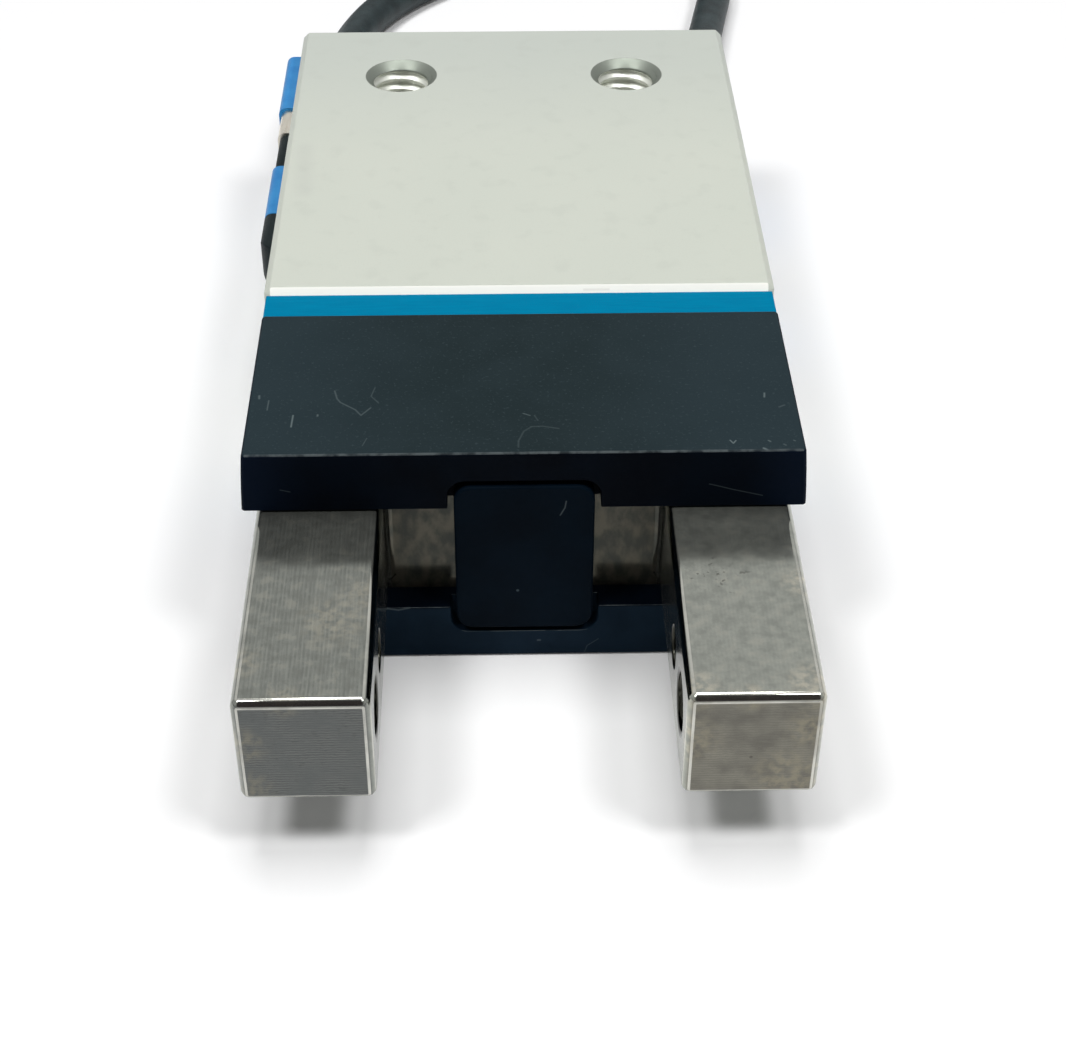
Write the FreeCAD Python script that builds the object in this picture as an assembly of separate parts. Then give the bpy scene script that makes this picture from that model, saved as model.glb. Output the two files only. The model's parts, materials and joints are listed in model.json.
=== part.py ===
import FreeCAD, Part
import math
import os

from FreeCAD import Vector

os.makedirs("parts", exist_ok=True)

# A two-jaw parallel gripper, lying on its back face with the jaws closed. Millimetres.
# The origin is midway between the two mounting holes, on the underside.
# X runs across the gripper, the jaws point along -Y, Z is up.

# Clearances
slide_clearance = 0.05
pivot_clearance = 0.03
seat_clearance = 0.02
head_clearance = 0.1
screw_clearance = 0.1

# The angle across every chamfered hole mouth, in degrees
mouth_angle = 100.0

# Housing
housing_width = 27.0
housing_height = 13.0
housing_length = 31.2
housing_chamfer = 0.35

# Mounting holes, threaded through the housing
mount_to_rear = 6.5
mount_spacing = 14.0
mount_core_d = 3.3
mount_mouth_d = 4.4

# Threads in the rear face
rear_thread_spacing = 8.0
rear_thread_d = 2.5
rear_thread_mouth_d = 3.2
rear_thread_depth = 4.4

# Air ports in the right side
port_d = 2.5
port_mouth_d = 3.2
port_margin = 0.35
port_rise = 0.6

# Spacer plate between the housing and the guide block
spacer_length = 2.3
spacer_side_inset = 0.15
spacer_top_inset = 0.3

# Guide block, whose sides bulge a little, and its slot
guide_width = 27.35
guide_side_radius = 62.0
guide_chamfer = 0.12
lip_depth = 1.6
mouth_clearance = 0.1

# Jaws
jaw_gap = 13.7
jaw_width = 6.1
jaw_height = 6.1
jaw_reach = 13.1
jaw_stroke = 3.0
jaw_chamfer = 0.28
jaw_root_fillet = 0.4
base_height = 9.0
base_thickness = 4.2
base_chamfer = 0.2
finger_hole_to_tip = 2.9
finger_core_d = 2.5
finger_mouth_d = 3.0
pin_hole_spacing = 3.7
pin_hole_d = 2.0

# Centre stop between the jaws
stop_plate_width = 6.8
stop_plate_height = 9.0
stop_plate_radius = 0.9
stop_plate_gap = 0.3
stop_plate_proud = 0.1
stop_plate_depth = 1.0
stop_web_width = 2.0
stop_pin_d = 1.5
stop_pin_cover = 0.8

# Levers between the rod and the jaws
lever_jaw_arm = 6.19
lever_rod_arm = 5.2
lever_thickness = 3.0
lever_arm_width = 1.4
lever_boss_d = 4.4
lever_pin_d = 2.0
lever_pin_cover = 1.0
jaw_head_d = 2.4
rod_head_d = 2.2
pocket_wall = 1.2
pocket_end_gap = 0.15

# Piston rod with a spool at its front end
rod_d = 4.0
spigot_d = 3.0
spool_neck_d = 2.8
spool_flange_d = 7.2
spool_flange_length = 1.0
spool_neck_gap = 0.2
spool_end_gap = 0.5
spool_room = 0.25

# Piston in its bore
bore_d = 10.0
bore_end_wall = 0.95
piston_end_gap = 0.3
piston_boss_d = 6.4
piston_length = 5.5
piston_seal_inset = 0.9
piston_seal_length = 1.8
piston_seal_depth = 1.25
magnet_d = 9.2
magnet_length = 2.0
retainer_d = 9.4
retainer_length = 0.8
spigot_end_gap = 0.4

# Cylinder cover with the rod's bush and seal
cover_d = 11.0
cover_length = 4.5
cover_seal_length = 1.4
cover_seal_depth = 0.9
bush_d = 5.6
bush_length = 2.6
rod_seal_d = 6.4
rod_seal_length = 1.2

# Return spring around the rod
spring_wire_d = 0.6
spring_mean_d = 6.4
spring_turns = 5.5

# Screws and dowels that hold the guide block to the housing
screw_from_side = 2.9
screw_from_middle = 3.5
screw_d = 2.5
screw_head_d = 4.5
screw_head_length = 2.5
screw_socket_width = 2.0
screw_socket_depth = 1.2
screw_head_inset = 0.2
screw_in_guide = 5.3
dowel_d = 1.5
dowel_in_housing = 2.5
dowel_in_guide = 3.0

# Switch slots in the narrow sides, the left one high and the right one low
slot_d = 4.0
slot_axis_depth = 1.9
slot_mouth = 3.0
slot_from_middle = 3.0
slot_end_gap = 0.6

# Proximity switches
switch_gap = 0.15
switch_from_rear = 24.3
switch_nose_length = 4.8
switch_band_length = 5.55
switch_waist_length = 4.1
switch_clamp_length = 3.0
switch_proud = 1.12
switch_edge_radius = 0.5
switch_nose_radius = 3.6
switch_nose_round = 1.3
switch_waist_inset = 0.12
switch_tail_swell = 0.15
band_thickness = 0.25
clamp_screw_d = 1.8
clamp_screw_inset = 0.15
clamp_screw_slot = 0.35
tail_outside_gap = 0.3
tail_outside_length = 1.9
tail_axis_out = 0.6
tail_axis_down = 1.1
tail_root_d = 3.5
tail_end_d = 3.1

# Leads, their shared coil and its tie
lead_d = 2.6
coil_centre = Vector(-2.0, 60.0, 0.0)
coil_mean_r = 14.0
coil_height = 8.2
coil_edge_radius = 0.9
tie_thickness = 0.5
tie_width = 4.0
tie_gap = 0.3

# Plugs on the leads
plug_relief_length = 6.0
plug_relief_d = 3.6
plug_shoulder_d = 7.0
plug_grip_length = 10.0
plug_grip_d = 8.4
plug_ribs = 5
plug_rib_depth = 0.3
plug_nut_d = 9.6
plug_nut_length = 9.0
plug_nut_bore_d = 7.2
plug_insert_d = 6.4
plug_insert_length = 5.0
plug_pin_d = 1.0
plug_pin_circle_d = 3.2
plug_pin_length = 3.4
plug_pins = 3

# Routes of the leads, from the switch to the coil and from the coil to the plug
left_lead_route = [
    (-12.2, 8.4, 8.4),
    (-12.2, 11.6, 8.4),
    (-12.35, 15.1, 7.6),
    (-12.5, 18.7, 5.8),
    (-12.55, 21.95, 3.45),
    (-12.5, 25.65, 1.95),
    (-11.9, 29.7, 1.3),
    (-10.4, 33.9, 1.3),
    (-8.0, 38.0, 1.3),
    (-4.3, 42.2, 1.3),
    (0.7, 45.9, 1.3),
    (6.82, 50.86, 1.4),
]
right_lead_route = [
    (12.2, 8.4, 4.6),
    (12.2, 12.4, 4.6),
    (12.4, 16.6, 3.95),
    (13.1, 21.0, 2.95),
    (14.2, 25.3, 1.9),
    (15.15, 29.6, 1.35),
    (15.9, 33.6, 1.3),
    (16.8, 38.0, 1.3),
    (17.1, 43.8, 1.3),
    (16.3, 50.2, 1.3),
    (14.8, 56.8, 1.5),
    (13.0, 63.2, 1.8),
]
left_end_route = [
    (10.5, 63.4, 7.35),
    (10.2, 67.5, 7.4),
    (9.0, 74.0, 6.3),
    (8.2, 80.2, 4.8),
    (7.6, 86.0, 4.8),
]
right_end_route = [
    (13.3, 59.5, 7.0),
    (13.7, 66.0, 6.7),
    (15.2, 72.2, 5.6),
    (16.7, 78.2, 4.8),
    (17.3, 84.0, 4.8),
]

# Worked out: the stack along Y, from the rear face to the jaw tips
rear_y = mount_to_rear
housing_front_y = rear_y - housing_length
spacer_front_y = housing_front_y - spacer_length
mid_z = housing_height / 2

# Worked out: the lever, which sets how long the guide block is
lever_half_turn = math.asin(jaw_stroke / 2 / lever_jaw_arm)
rod_half_stroke = lever_rod_arm * math.sin(lever_half_turn)
spool_groove = rod_head_d + head_clearance
spool_y = housing_front_y - spool_end_gap - spool_flange_length - spool_groove / 2
pivot_y = spool_y - rod_half_stroke
pivot_x = spool_neck_d / 2 + spool_neck_gap + rod_head_d / 2 + lever_rod_arm
jaw_head_y = pivot_y - lever_jaw_arm
pocket_front_y = jaw_head_y - jaw_head_d / 2 - pocket_end_gap
base_front_y = pocket_front_y - pocket_wall
base_rear_y = base_front_y + base_thickness
slot_front_y = base_front_y - slide_clearance
slot_rear_y = base_rear_y + slide_clearance
guide_front_y = slot_front_y - lip_depth
jaw_tip_y = guide_front_y - jaw_reach
slot_half_height = base_height / 2 + slide_clearance
lever_room_z = lever_thickness / 2 + head_clearance

# Worked out: the piston and what is around it
bore_end_y = -mount_core_d / 2 - bore_end_wall
piston_rear_y = bore_end_y - piston_end_gap
piston_boss_length = port_d + 2 * port_margin
disc_rear_y = piston_rear_y - piston_boss_length
disc_front_y = disc_rear_y - piston_length
retainer_front_y = disc_front_y - retainer_length
cover_rear_y = housing_front_y + cover_length
rear_port_y = bore_end_y - port_d / 2 - port_margin
front_port_y = cover_rear_y + port_d / 2 + port_margin
piston_r = bore_d / 2 - slide_clearance

# Worked out: screws and switches
screw_x = housing_width / 2 - screw_from_side
slot_x = housing_width / 2 - slot_axis_depth
nose_y = rear_y - switch_from_rear
band_front_y = nose_y + switch_nose_length
band_rear_y = band_front_y + switch_band_length
clamp_front_y = band_rear_y + switch_waist_length
clamp_rear_y = clamp_front_y + switch_clamp_length
tail_end_y = rear_y + tail_outside_length

ACROSS = Vector(1, 0, 0)
BACK = Vector(0, 1, 0)
UP = Vector(0, 0, 1)


def box(x0, x1, y0, y1, z0, z1):
    """A block between two corners."""
    return Part.makeBox(x1 - x0, y1 - y0, z1 - z0, Vector(x0, y0, z0))


def along_y(radius, y0, y1, x=0.0, z=None):
    """A cylinder along Y, on the gripper's middle line unless x and z say otherwise."""
    height = mid_z if z is None else z
    return Part.makeCylinder(radius, y1 - y0, Vector(x, y0, height), BACK)


def along_z(radius, z0, z1, x, y):
    """An upright cylinder."""
    return Part.makeCylinder(radius, z1 - z0, Vector(x, y, z0), UP)


def along_x(radius, x0, x1, y, z):
    """A cylinder across the gripper."""
    return Part.makeCylinder(radius, x1 - x0, Vector(x0, y, z), ACROSS)


def mouth(wide_d, narrow_d, at, inward):
    """The cone that a hole's chamfered mouth takes away."""
    depth = (wide_d - narrow_d) / 2 / math.tan(math.radians(mouth_angle / 2))
    return Part.makeCone(wide_d / 2, narrow_d / 2, depth, at, inward)


def edges_along(shape, axis):
    """The straight edges of a shape that run along an axis."""
    found = []
    for edge in shape.Edges:
        if edge.Curve.TypeId == "Part::GeomLine" and abs(edge.Curve.Direction.dot(axis)) > 0.999:
            found.append(edge)
    return found


def turned_around(shape):
    """The same piece half a turn on about the gripper's long middle line."""
    copy = shape.copy()
    copy.rotate(Vector(0, 0, mid_z), BACK, 180)
    return copy


def mirrored(shape):
    """The same piece on the other side of the middle plane."""
    return shape.mirror(Vector(0, 0, 0), ACROSS)


def save(name, *solids):
    """Write a node of one or more solids."""
    shape = solids[0] if len(solids) == 1 else Part.makeCompound(list(solids))
    shape.exportStep("parts/" + name + ".step")
    print(name, len(shape.Solids), shape.isValid(), round(shape.Volume, 2))


# Diagonal places: screws at low left and high right, dowels at high left and low right
screw_places = [(-screw_x, mid_z - screw_from_middle), (screw_x, mid_z + screw_from_middle)]
dowel_places = [(-screw_x, mid_z + screw_from_middle), (screw_x, mid_z - screw_from_middle)]
head_seat_y = rear_y - screw_head_inset - screw_head_length
screw_end_y = spacer_front_y - screw_in_guide
dowel_rear_y = housing_front_y + dowel_in_housing
dowel_front_y = spacer_front_y - dowel_in_guide


def switch_slot():
    """What the left switch slot takes out of the housing."""
    front = nose_y - slot_end_gap
    slot_z = mid_z + slot_from_middle
    side = -housing_width / 2
    room = along_y(slot_d / 2, front, rear_y, -slot_x, slot_z)
    way_in = box(side, -slot_x, front, rear_y, slot_z - slot_mouth / 2, slot_z + slot_mouth / 2)
    return room.fuse(way_in)


def housing():
    """The aluminium body with its bore, slots, ports and threads."""
    half = housing_width / 2
    body = box(-half, half, housing_front_y, rear_y, 0, housing_height)
    body = body.makeChamfer(housing_chamfer, body.Edges)
    cuts = [
        along_y(bore_d / 2, housing_front_y, bore_end_y),
        along_y(cover_d / 2 + seat_clearance, housing_front_y, cover_rear_y),
        switch_slot(),
        turned_around(switch_slot()),
    ]
    for side in (-1, 1):
        x = side * mount_spacing / 2
        cuts.append(along_z(mount_core_d / 2, 0, housing_height, x, 0))
        cuts.append(mouth(mount_mouth_d, mount_core_d, Vector(x, 0, 0), UP))
        cuts.append(mouth(mount_mouth_d, mount_core_d, Vector(x, 0, housing_height), -UP))
        x = side * rear_thread_spacing / 2
        cuts.append(along_y(rear_thread_d / 2, rear_y - rear_thread_depth, rear_y, x))
        cuts.append(mouth(rear_thread_mouth_d, rear_thread_d, Vector(x, rear_y, mid_z), -BACK))
    for y in (rear_port_y, front_port_y):
        z = mid_z + port_rise
        cuts.append(along_x(port_d / 2, 0, half, y, z))
        cuts.append(mouth(port_mouth_d, port_d, Vector(half, y, z), -ACROSS))
    for x, z in screw_places:
        cuts.append(along_y(screw_d / 2 + screw_clearance, housing_front_y, rear_y, x, z))
        cuts.append(along_y(screw_head_d / 2 + screw_clearance, head_seat_y, rear_y, x, z))
    for x, z in dowel_places:
        cuts.append(along_y(dowel_d / 2 + seat_clearance, housing_front_y, dowel_rear_y, x, z))
    return body.cut(cuts)


def spacer_plate():
    """The blue plate between the housing and the guide block."""
    half = housing_width / 2 - spacer_side_inset
    top = housing_height - spacer_top_inset
    plate = box(-half, half, spacer_front_y, housing_front_y, spacer_top_inset, top)
    cuts = [
        along_y(spool_flange_d / 2 + spool_room, spacer_front_y, housing_front_y),
        lever_room(spacer_front_y, housing_front_y),
    ]
    for x, z in screw_places:
        cuts.append(along_y(screw_d / 2 + screw_clearance, spacer_front_y, housing_front_y, x, z))
    for x, z in dowel_places:
        cuts.append(along_y(dowel_d / 2 + seat_clearance, spacer_front_y, housing_front_y, x, z))
    return plate.cut(cuts)


def lever_room(front_y, back_y):
    """The flat space that the levers swing in."""
    half = pivot_x + lever_boss_d / 2 + spool_room
    return box(-half, half, front_y, back_y, mid_z - lever_room_z, mid_z + lever_room_z)


def bulged_block(front_y, back_y):
    """A block with flat top and bottom and gently bulged sides."""
    widest = guide_width / 2
    bulge = guide_side_radius - math.sqrt(guide_side_radius**2 - mid_z**2)
    half = widest - bulge
    low_left = Vector(-half, front_y, 0)
    low_right = Vector(half, front_y, 0)
    top_right = Vector(half, front_y, housing_height)
    top_left = Vector(-half, front_y, housing_height)
    outline = [
        Part.LineSegment(low_left, low_right).toShape(),
        Part.Arc(low_right, Vector(widest, front_y, mid_z), top_right).toShape(),
        Part.LineSegment(top_right, top_left).toShape(),
        Part.Arc(top_left, Vector(-widest, front_y, mid_z), low_left).toShape(),
    ]
    return Part.Face(Part.Wire(outline)).extrude(BACK * (back_y - front_y))


def across_guide(front_y, back_y, half_height):
    """A cut right across the guide block at mid height."""
    return box(-guide_width, guide_width, front_y, back_y, mid_z - half_height, mid_z + half_height)


def guide_block():
    """The black block with the slot that the jaws slide in and the room for the levers."""
    block = bulged_block(guide_front_y, spacer_front_y)
    block = block.makeChamfer(guide_chamfer, block.Edges)
    mouth_half = jaw_height / 2 + mouth_clearance
    pin_top = housing_height - lever_pin_cover
    stop_top = housing_height - stop_pin_cover
    web_y = (slot_front_y + base_rear_y) / 2
    cuts = [
        across_guide(slot_front_y, slot_rear_y, slot_half_height),
        across_guide(guide_front_y, slot_front_y, mouth_half),
        stop_plate(stop_plate_gap, guide_front_y, guide_front_y + stop_plate_depth),
        lever_room(slot_rear_y, spacer_front_y),
        along_y(spool_flange_d / 2 + spool_room, slot_rear_y, spacer_front_y),
        along_z(stop_pin_d / 2 + seat_clearance, 0, stop_top, 0, web_y),
    ]
    for side in (-1, 1):
        cuts.append(along_z(lever_pin_d / 2 + seat_clearance, 0, pin_top, side * pivot_x, pivot_y))
    for x, z in screw_places:
        cuts.append(along_y(screw_d / 2 + seat_clearance, screw_end_y, spacer_front_y, x, z))
    for x, z in dowel_places:
        cuts.append(along_y(dowel_d / 2 + seat_clearance, dowel_front_y, spacer_front_y, x, z))
    return block.cut(cuts)


def stop_plate(grow, front_y, rear_y_of_plate):
    """The rounded cover plate of the centre stop, or with grow the recess that it sits in."""
    half_w = stop_plate_width / 2 + grow
    half_h = stop_plate_height / 2 + grow
    plate = box(-half_w, half_w, front_y, rear_y_of_plate, mid_z - half_h, mid_z + half_h)
    return plate.makeFillet(stop_plate_radius, edges_along(plate, BACK))


def centre_stop():
    """The cover plate, its neck through the slot's mouth, and the web that the closed jaws stop against."""
    plate_rear_y = guide_front_y + stop_plate_depth - seat_clearance
    plate = stop_plate(0, guide_front_y - stop_plate_proud, plate_rear_y)
    half = stop_web_width / 2
    low = mid_z - jaw_height / 2
    neck = box(-half, half, plate_rear_y, slot_front_y, low, low + jaw_height)
    web = box(-half, half, slot_front_y, base_rear_y, mid_z - slot_half_height, mid_z + slot_half_height)
    web_y = (slot_front_y + base_rear_y) / 2
    hole = along_z(stop_pin_d / 2 + seat_clearance, 0, housing_height, 0, web_y)
    return plate.fuse([neck, web]).cut(hole).removeSplitter()


def stop_pin():
    """The upright dowel through the web of the centre stop."""
    web_y = (slot_front_y + base_rear_y) / 2
    return along_z(stop_pin_d / 2, guide_chamfer, housing_height - stop_pin_cover, 0, web_y)


def right_jaw():
    """The right jaw: a finger with cross holes, and a base that slides in the slot."""
    inner = jaw_gap / 2
    outer = inner + jaw_width
    low = mid_z - jaw_height / 2
    finger = box(inner, outer, jaw_tip_y, base_front_y, low, low + jaw_height)
    tip_edges = [e for e in finger.Edges if e.CenterOfMass.y < base_front_y - slide_clearance]
    finger = finger.makeChamfer(jaw_chamfer, tip_edges)
    start = stop_web_width / 2 + slide_clearance
    base = box(start, outer, base_front_y, base_rear_y, mid_z - base_height / 2, mid_z + base_height / 2)
    base = base.makeChamfer(base_chamfer, edges_along(base, ACROSS))
    jaw = finger.fuse(base).removeSplitter()
    jaw = jaw.makeFillet(jaw_root_fillet, root_edges(jaw, inner))
    pocket_x = pivot_x - jaw_stroke / 2
    pocket_half = (jaw_head_d + head_clearance) / 2
    finger_y = jaw_tip_y + finger_hole_to_tip
    cuts = [
        box(
            pocket_x - pocket_half,
            pocket_x + pocket_half,
            pocket_front_y,
            base_rear_y,
            mid_z - lever_room_z,
            mid_z + lever_room_z,
        ),
        along_x(finger_core_d / 2, inner, outer, finger_y, mid_z),
        mouth(finger_mouth_d, finger_core_d, Vector(inner, finger_y, mid_z), ACROSS),
        mouth(finger_mouth_d, finger_core_d, Vector(outer, finger_y, mid_z), -ACROSS),
        along_x(pin_hole_d / 2, inner, outer, finger_y + pin_hole_spacing, mid_z),
    ]
    return jaw.cut(cuts)


def root_edges(jaw, inner):
    """The upright inner corner between a jaw's finger and its base."""
    found = []
    for edge in edges_along(jaw, UP):
        place = edge.CenterOfMass
        if abs(place.x - inner) < slide_clearance and abs(place.y - base_front_y) < slide_clearance:
            found.append(edge)
    return found


def right_lever():
    """The right bell-crank, turned to where it is with the jaws closed."""
    low = mid_z - lever_thickness / 2
    high = mid_z + lever_thickness / 2
    half = lever_arm_width / 2
    lever = along_z(lever_boss_d / 2, low, high, 0, 0)
    lever = lever.fuse(
        [
            box(-half, half, -lever_jaw_arm, 0, low, high),
            along_z(jaw_head_d / 2, low, high, 0, -lever_jaw_arm),
            box(-lever_rod_arm, 0, -half, half, low, high),
            along_z(rod_head_d / 2, low, high, -lever_rod_arm, 0),
        ]
    )
    lever = lever.removeSplitter()
    lever = lever.cut(along_z(lever_pin_d / 2 + pivot_clearance, low, high, 0, 0))
    lever.rotate(Vector(0, 0, 0), UP, -math.degrees(lever_half_turn))
    lever.translate(Vector(pivot_x, pivot_y, 0))
    return lever


def lever_pins():
    """The two pins that the levers turn on, pressed in from the underside."""
    top = housing_height - lever_pin_cover
    return [along_z(lever_pin_d / 2, guide_chamfer, top, side * pivot_x, pivot_y) for side in (-1, 1)]


def piston_rod():
    """The rod: a spigot in the piston, the shank, and the spool that turns the levers."""
    groove_front_y = spool_y - spool_groove / 2
    groove_rear_y = spool_y + spool_groove / 2
    pieces = [
        along_y(rod_d / 2, groove_rear_y, retainer_front_y),
        along_y(spool_neck_d / 2, groove_front_y, groove_rear_y),
        along_y(spool_flange_d / 2, groove_rear_y, groove_rear_y + spool_flange_length),
        along_y(spool_flange_d / 2, groove_front_y - spool_flange_length, groove_front_y),
    ]
    spigot = along_y(spigot_d / 2, retainer_front_y, disc_rear_y - spigot_end_gap)
    return spigot.fuse(pieces).removeSplitter()


def piston():
    """The piston with its boss, the groove for its seal and the recess for the magnet."""
    body = along_y(piston_r, disc_front_y, disc_rear_y)
    boss = along_y(piston_boss_d / 2, disc_rear_y, piston_rear_y)
    cuts = [
        piston_seal_ring(piston_r + seat_clearance),
        along_y(magnet_d / 2 + seat_clearance, disc_front_y, disc_front_y + magnet_length),
        along_y(spigot_d / 2 + seat_clearance, disc_front_y, disc_rear_y - spigot_end_gap),
    ]
    return body.fuse(boss).cut(cuts).removeSplitter()


def piston_seal_ring(outer_r):
    """A ring in the piston's seal groove, out to a given radius."""
    rear = disc_rear_y - piston_seal_inset
    front = rear - piston_seal_length
    return along_y(outer_r, front, rear).cut(along_y(piston_r - piston_seal_depth, front, rear))


def piston_seal():
    """The rubber ring of the piston, just clear of the bore."""
    return piston_seal_ring(bore_d / 2 - pivot_clearance)


def magnet_ring():
    """The magnet that the switches sense, in the front of the piston."""
    ring = along_y(magnet_d / 2, disc_front_y, disc_front_y + magnet_length)
    return ring.cut(along_y(spigot_d / 2 + seat_clearance, disc_front_y, disc_front_y + magnet_length))


def magnet_retainer():
    """The washer that the rod's shoulder clamps over the magnet."""
    washer = along_y(retainer_d / 2, retainer_front_y, disc_front_y)
    return washer.cut(along_y(spigot_d / 2 + seat_clearance, retainer_front_y, disc_front_y))


def cover_seal_ring(outer_r):
    """A ring in the cylinder cover's outer groove, out to a given radius."""
    middle = (housing_front_y + cover_rear_y) / 2
    front = middle - cover_seal_length / 2
    rear = middle + cover_seal_length / 2
    return along_y(outer_r, front, rear).cut(along_y(cover_d / 2 - cover_seal_depth, front, rear))


def cylinder_cover():
    """The plug that closes the bore and carries the rod."""
    cover = along_y(cover_d / 2, housing_front_y, cover_rear_y)
    seal_rear = housing_front_y + bush_length + rod_seal_length
    cuts = [
        along_y(rod_d / 2 + screw_clearance, housing_front_y, cover_rear_y),
        along_y(bush_d / 2 + seat_clearance, housing_front_y, housing_front_y + bush_length),
        along_y(rod_seal_d / 2, housing_front_y + bush_length, seal_rear),
        cover_seal_ring(cover_d / 2 + seat_clearance),
    ]
    return cover.cut(cuts)


def rod_bush():
    """The plain bearing of the rod."""
    bush = along_y(bush_d / 2, housing_front_y, housing_front_y + bush_length)
    hole = along_y(rod_d / 2 + pivot_clearance, housing_front_y, housing_front_y + bush_length)
    return bush.cut(hole)


def rod_seal():
    """The rubber ring round the rod, behind its bush."""
    front = housing_front_y + bush_length
    ring = along_y(rod_seal_d / 2, front, front + rod_seal_length)
    return ring.cut(along_y(rod_d / 2 + pivot_clearance, front, front + rod_seal_length))


def return_spring():
    """The coil spring that pushes the piston back and so closes the jaws, as tilted half turns."""
    front = cover_rear_y + spring_wire_d / 2
    room = retainer_front_y - cover_rear_y - spring_wire_d
    half_turns = round(2 * spring_turns)
    rise = room / half_turns
    radius = spring_mean_d / 2
    bulge = math.hypot(radius, rise / 2)
    arcs = []
    for k in range(half_turns):
        side = 1 - 2 * (k % 2)
        begin = Vector(side * radius, front + k * rise, mid_z)
        middle = Vector(0, front + (k + 0.5) * rise, mid_z + side * bulge)
        end = Vector(-side * radius, front + (k + 1) * rise, mid_z)
        arcs.append(Part.Arc(begin, middle, end).toShape())
    section = Part.Wire(Part.makeCircle(spring_wire_d / 2, Vector(radius, front, mid_z), UP))
    return Part.Wire(arcs).makePipeShell([section], True, True)


def guide_screws():
    """The two long screws from the rear face into the guide block."""
    screws = []
    for x, z in screw_places:
        head_end = head_seat_y + screw_head_length
        shank = along_y(screw_d / 2, screw_end_y, head_seat_y, x, z)
        head = along_y(screw_head_d / 2, head_seat_y, head_end, x, z)
        corner_r = screw_socket_width / math.sqrt(3)
        corners = []
        for k in range(7):
            turn = math.radians(60 * k)
            corners.append(Vector(x + corner_r * math.cos(turn), head_end, z + corner_r * math.sin(turn)))
        hexagon = Part.Face(Part.makePolygon(corners))
        socket = hexagon.extrude(Vector(0, -screw_socket_depth, 0))
        screws.append(shank.fuse(head).cut(socket).removeSplitter())
    return screws


def guide_dowels():
    """The two dowels that line the guide block up with the housing."""
    return [along_y(dowel_d / 2, dowel_front_y, dowel_rear_y, x, z) for x, z in dowel_places]


def switch_foot(y0, y1):
    """The round foot of a stretch of the left switch in the slot, with its neck in the slot's mouth."""
    slot_z = mid_z + slot_from_middle
    half = slot_mouth / 2 - switch_gap
    foot = along_y(slot_d / 2 - switch_gap, y0, y1, -slot_x, slot_z)
    neck = box(-housing_width / 2 - switch_gap, -slot_x, y0, y1, slot_z - half, slot_z + half)
    return foot.fuse(neck)


def switch_stretch(y0, y1, shrink=0.0):
    """A stretch of the left switch: its foot in the slot and a head that stands out of it."""
    return switch_foot(y0, y1).fuse(switch_head(y0, y1, shrink)).removeSplitter()


def switch_head(y0, y1, shrink=0.0):
    """The part of a stretch that stands proud of the housing's side, with rounded outer edges."""
    slot_z = mid_z + slot_from_middle
    side = -housing_width / 2
    half = slot_mouth / 2 - switch_gap - shrink
    outer = side - switch_proud + shrink
    head = box(outer, side - switch_gap, y0, y1, slot_z - half, slot_z + half)
    outer_edges = [e for e in edges_along(head, BACK) if abs(e.CenterOfMass.x - outer) < slide_clearance]
    return head.makeFillet(switch_edge_radius, outer_edges)


def switch_nose():
    """The head's front end, rounded towards the housing's side and at its top and bottom."""
    slot_z = mid_z + slot_from_middle
    half = slot_mouth / 2 - switch_gap
    outer = -housing_width / 2 - switch_proud
    block = box(outer, 0, nose_y, band_front_y, slot_z - half, slot_z + half)
    front_edges = [e for e in block.Edges if abs(e.CenterOfMass.y - nose_y) < slide_clearance]
    outer_edge = [e for e in front_edges if abs(e.CenterOfMass.x - outer) < slide_clearance]
    level_edges = [e for e in front_edges if abs(e.CenterOfMass.z - slot_z) > half / 2]
    head = switch_head(nose_y, band_front_y)
    head = head.common(block.makeFillet(switch_nose_radius, outer_edge))
    return head.common(block.makeFillet(switch_nose_round, level_edges))


def switch_body():
    """The black moulding of the left switch, with a rounded nose and a waist for the band."""
    nose = switch_foot(nose_y, band_front_y).fuse(switch_nose())
    under_band = switch_stretch(band_front_y, band_rear_y, band_thickness)
    waist = switch_stretch(band_rear_y, clamp_front_y, switch_waist_inset)
    return nose.fuse([under_band, waist]).removeSplitter()


def switch_band():
    """The blue band over the waist of the left switch."""
    band = switch_head(band_front_y, band_rear_y)
    return band.cut(switch_head(band_front_y, band_rear_y, band_thickness))


def clamp_screw_middle():
    """Where the clamp screw of the left switch sits along the gripper."""
    return (clamp_front_y + clamp_rear_y) / 2


def switch_clamp():
    """The metal clamp block of the left switch."""
    block = switch_stretch(clamp_front_y, clamp_rear_y)
    slot_z = mid_z + slot_from_middle
    outer = -housing_width / 2 - switch_proud
    hole = along_x(clamp_screw_d / 2 + seat_clearance, outer, 0, clamp_screw_middle(), slot_z)
    return block.cut(hole)


def clamp_screw():
    """The slotted screw that presses on the bottom of the slot."""
    slot_z = mid_z + slot_from_middle
    outer = -housing_width / 2 - switch_proud + clamp_screw_inset
    reach = math.sqrt((slot_d / 2) ** 2 - (clamp_screw_d / 2) ** 2)
    bottom = -slot_x + reach - seat_clearance
    y = clamp_screw_middle()
    screw = along_x(clamp_screw_d / 2, outer, bottom, y, slot_z)
    half = clamp_screw_slot / 2
    front = y - clamp_screw_d
    rear = y + clamp_screw_d
    slot = box(outer, outer + clamp_screw_slot, front, rear, slot_z - half, slot_z + half)
    return screw.cut(slot)


def switch_tail():
    """The blue rear end of the left switch, with the tapered relief that the lead comes out of."""
    root_y = rear_y + tail_outside_gap
    tail = switch_stretch(clamp_rear_y, root_y, -switch_tail_swell)
    taper = Part.makeCone(
        tail_root_d / 2,
        tail_end_d / 2,
        tail_end_y - root_y,
        Vector(-slot_x - tail_axis_out, root_y, mid_z + slot_from_middle - tail_axis_down),
        BACK,
    )
    return tail.fuse(taper).removeSplitter()


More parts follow.
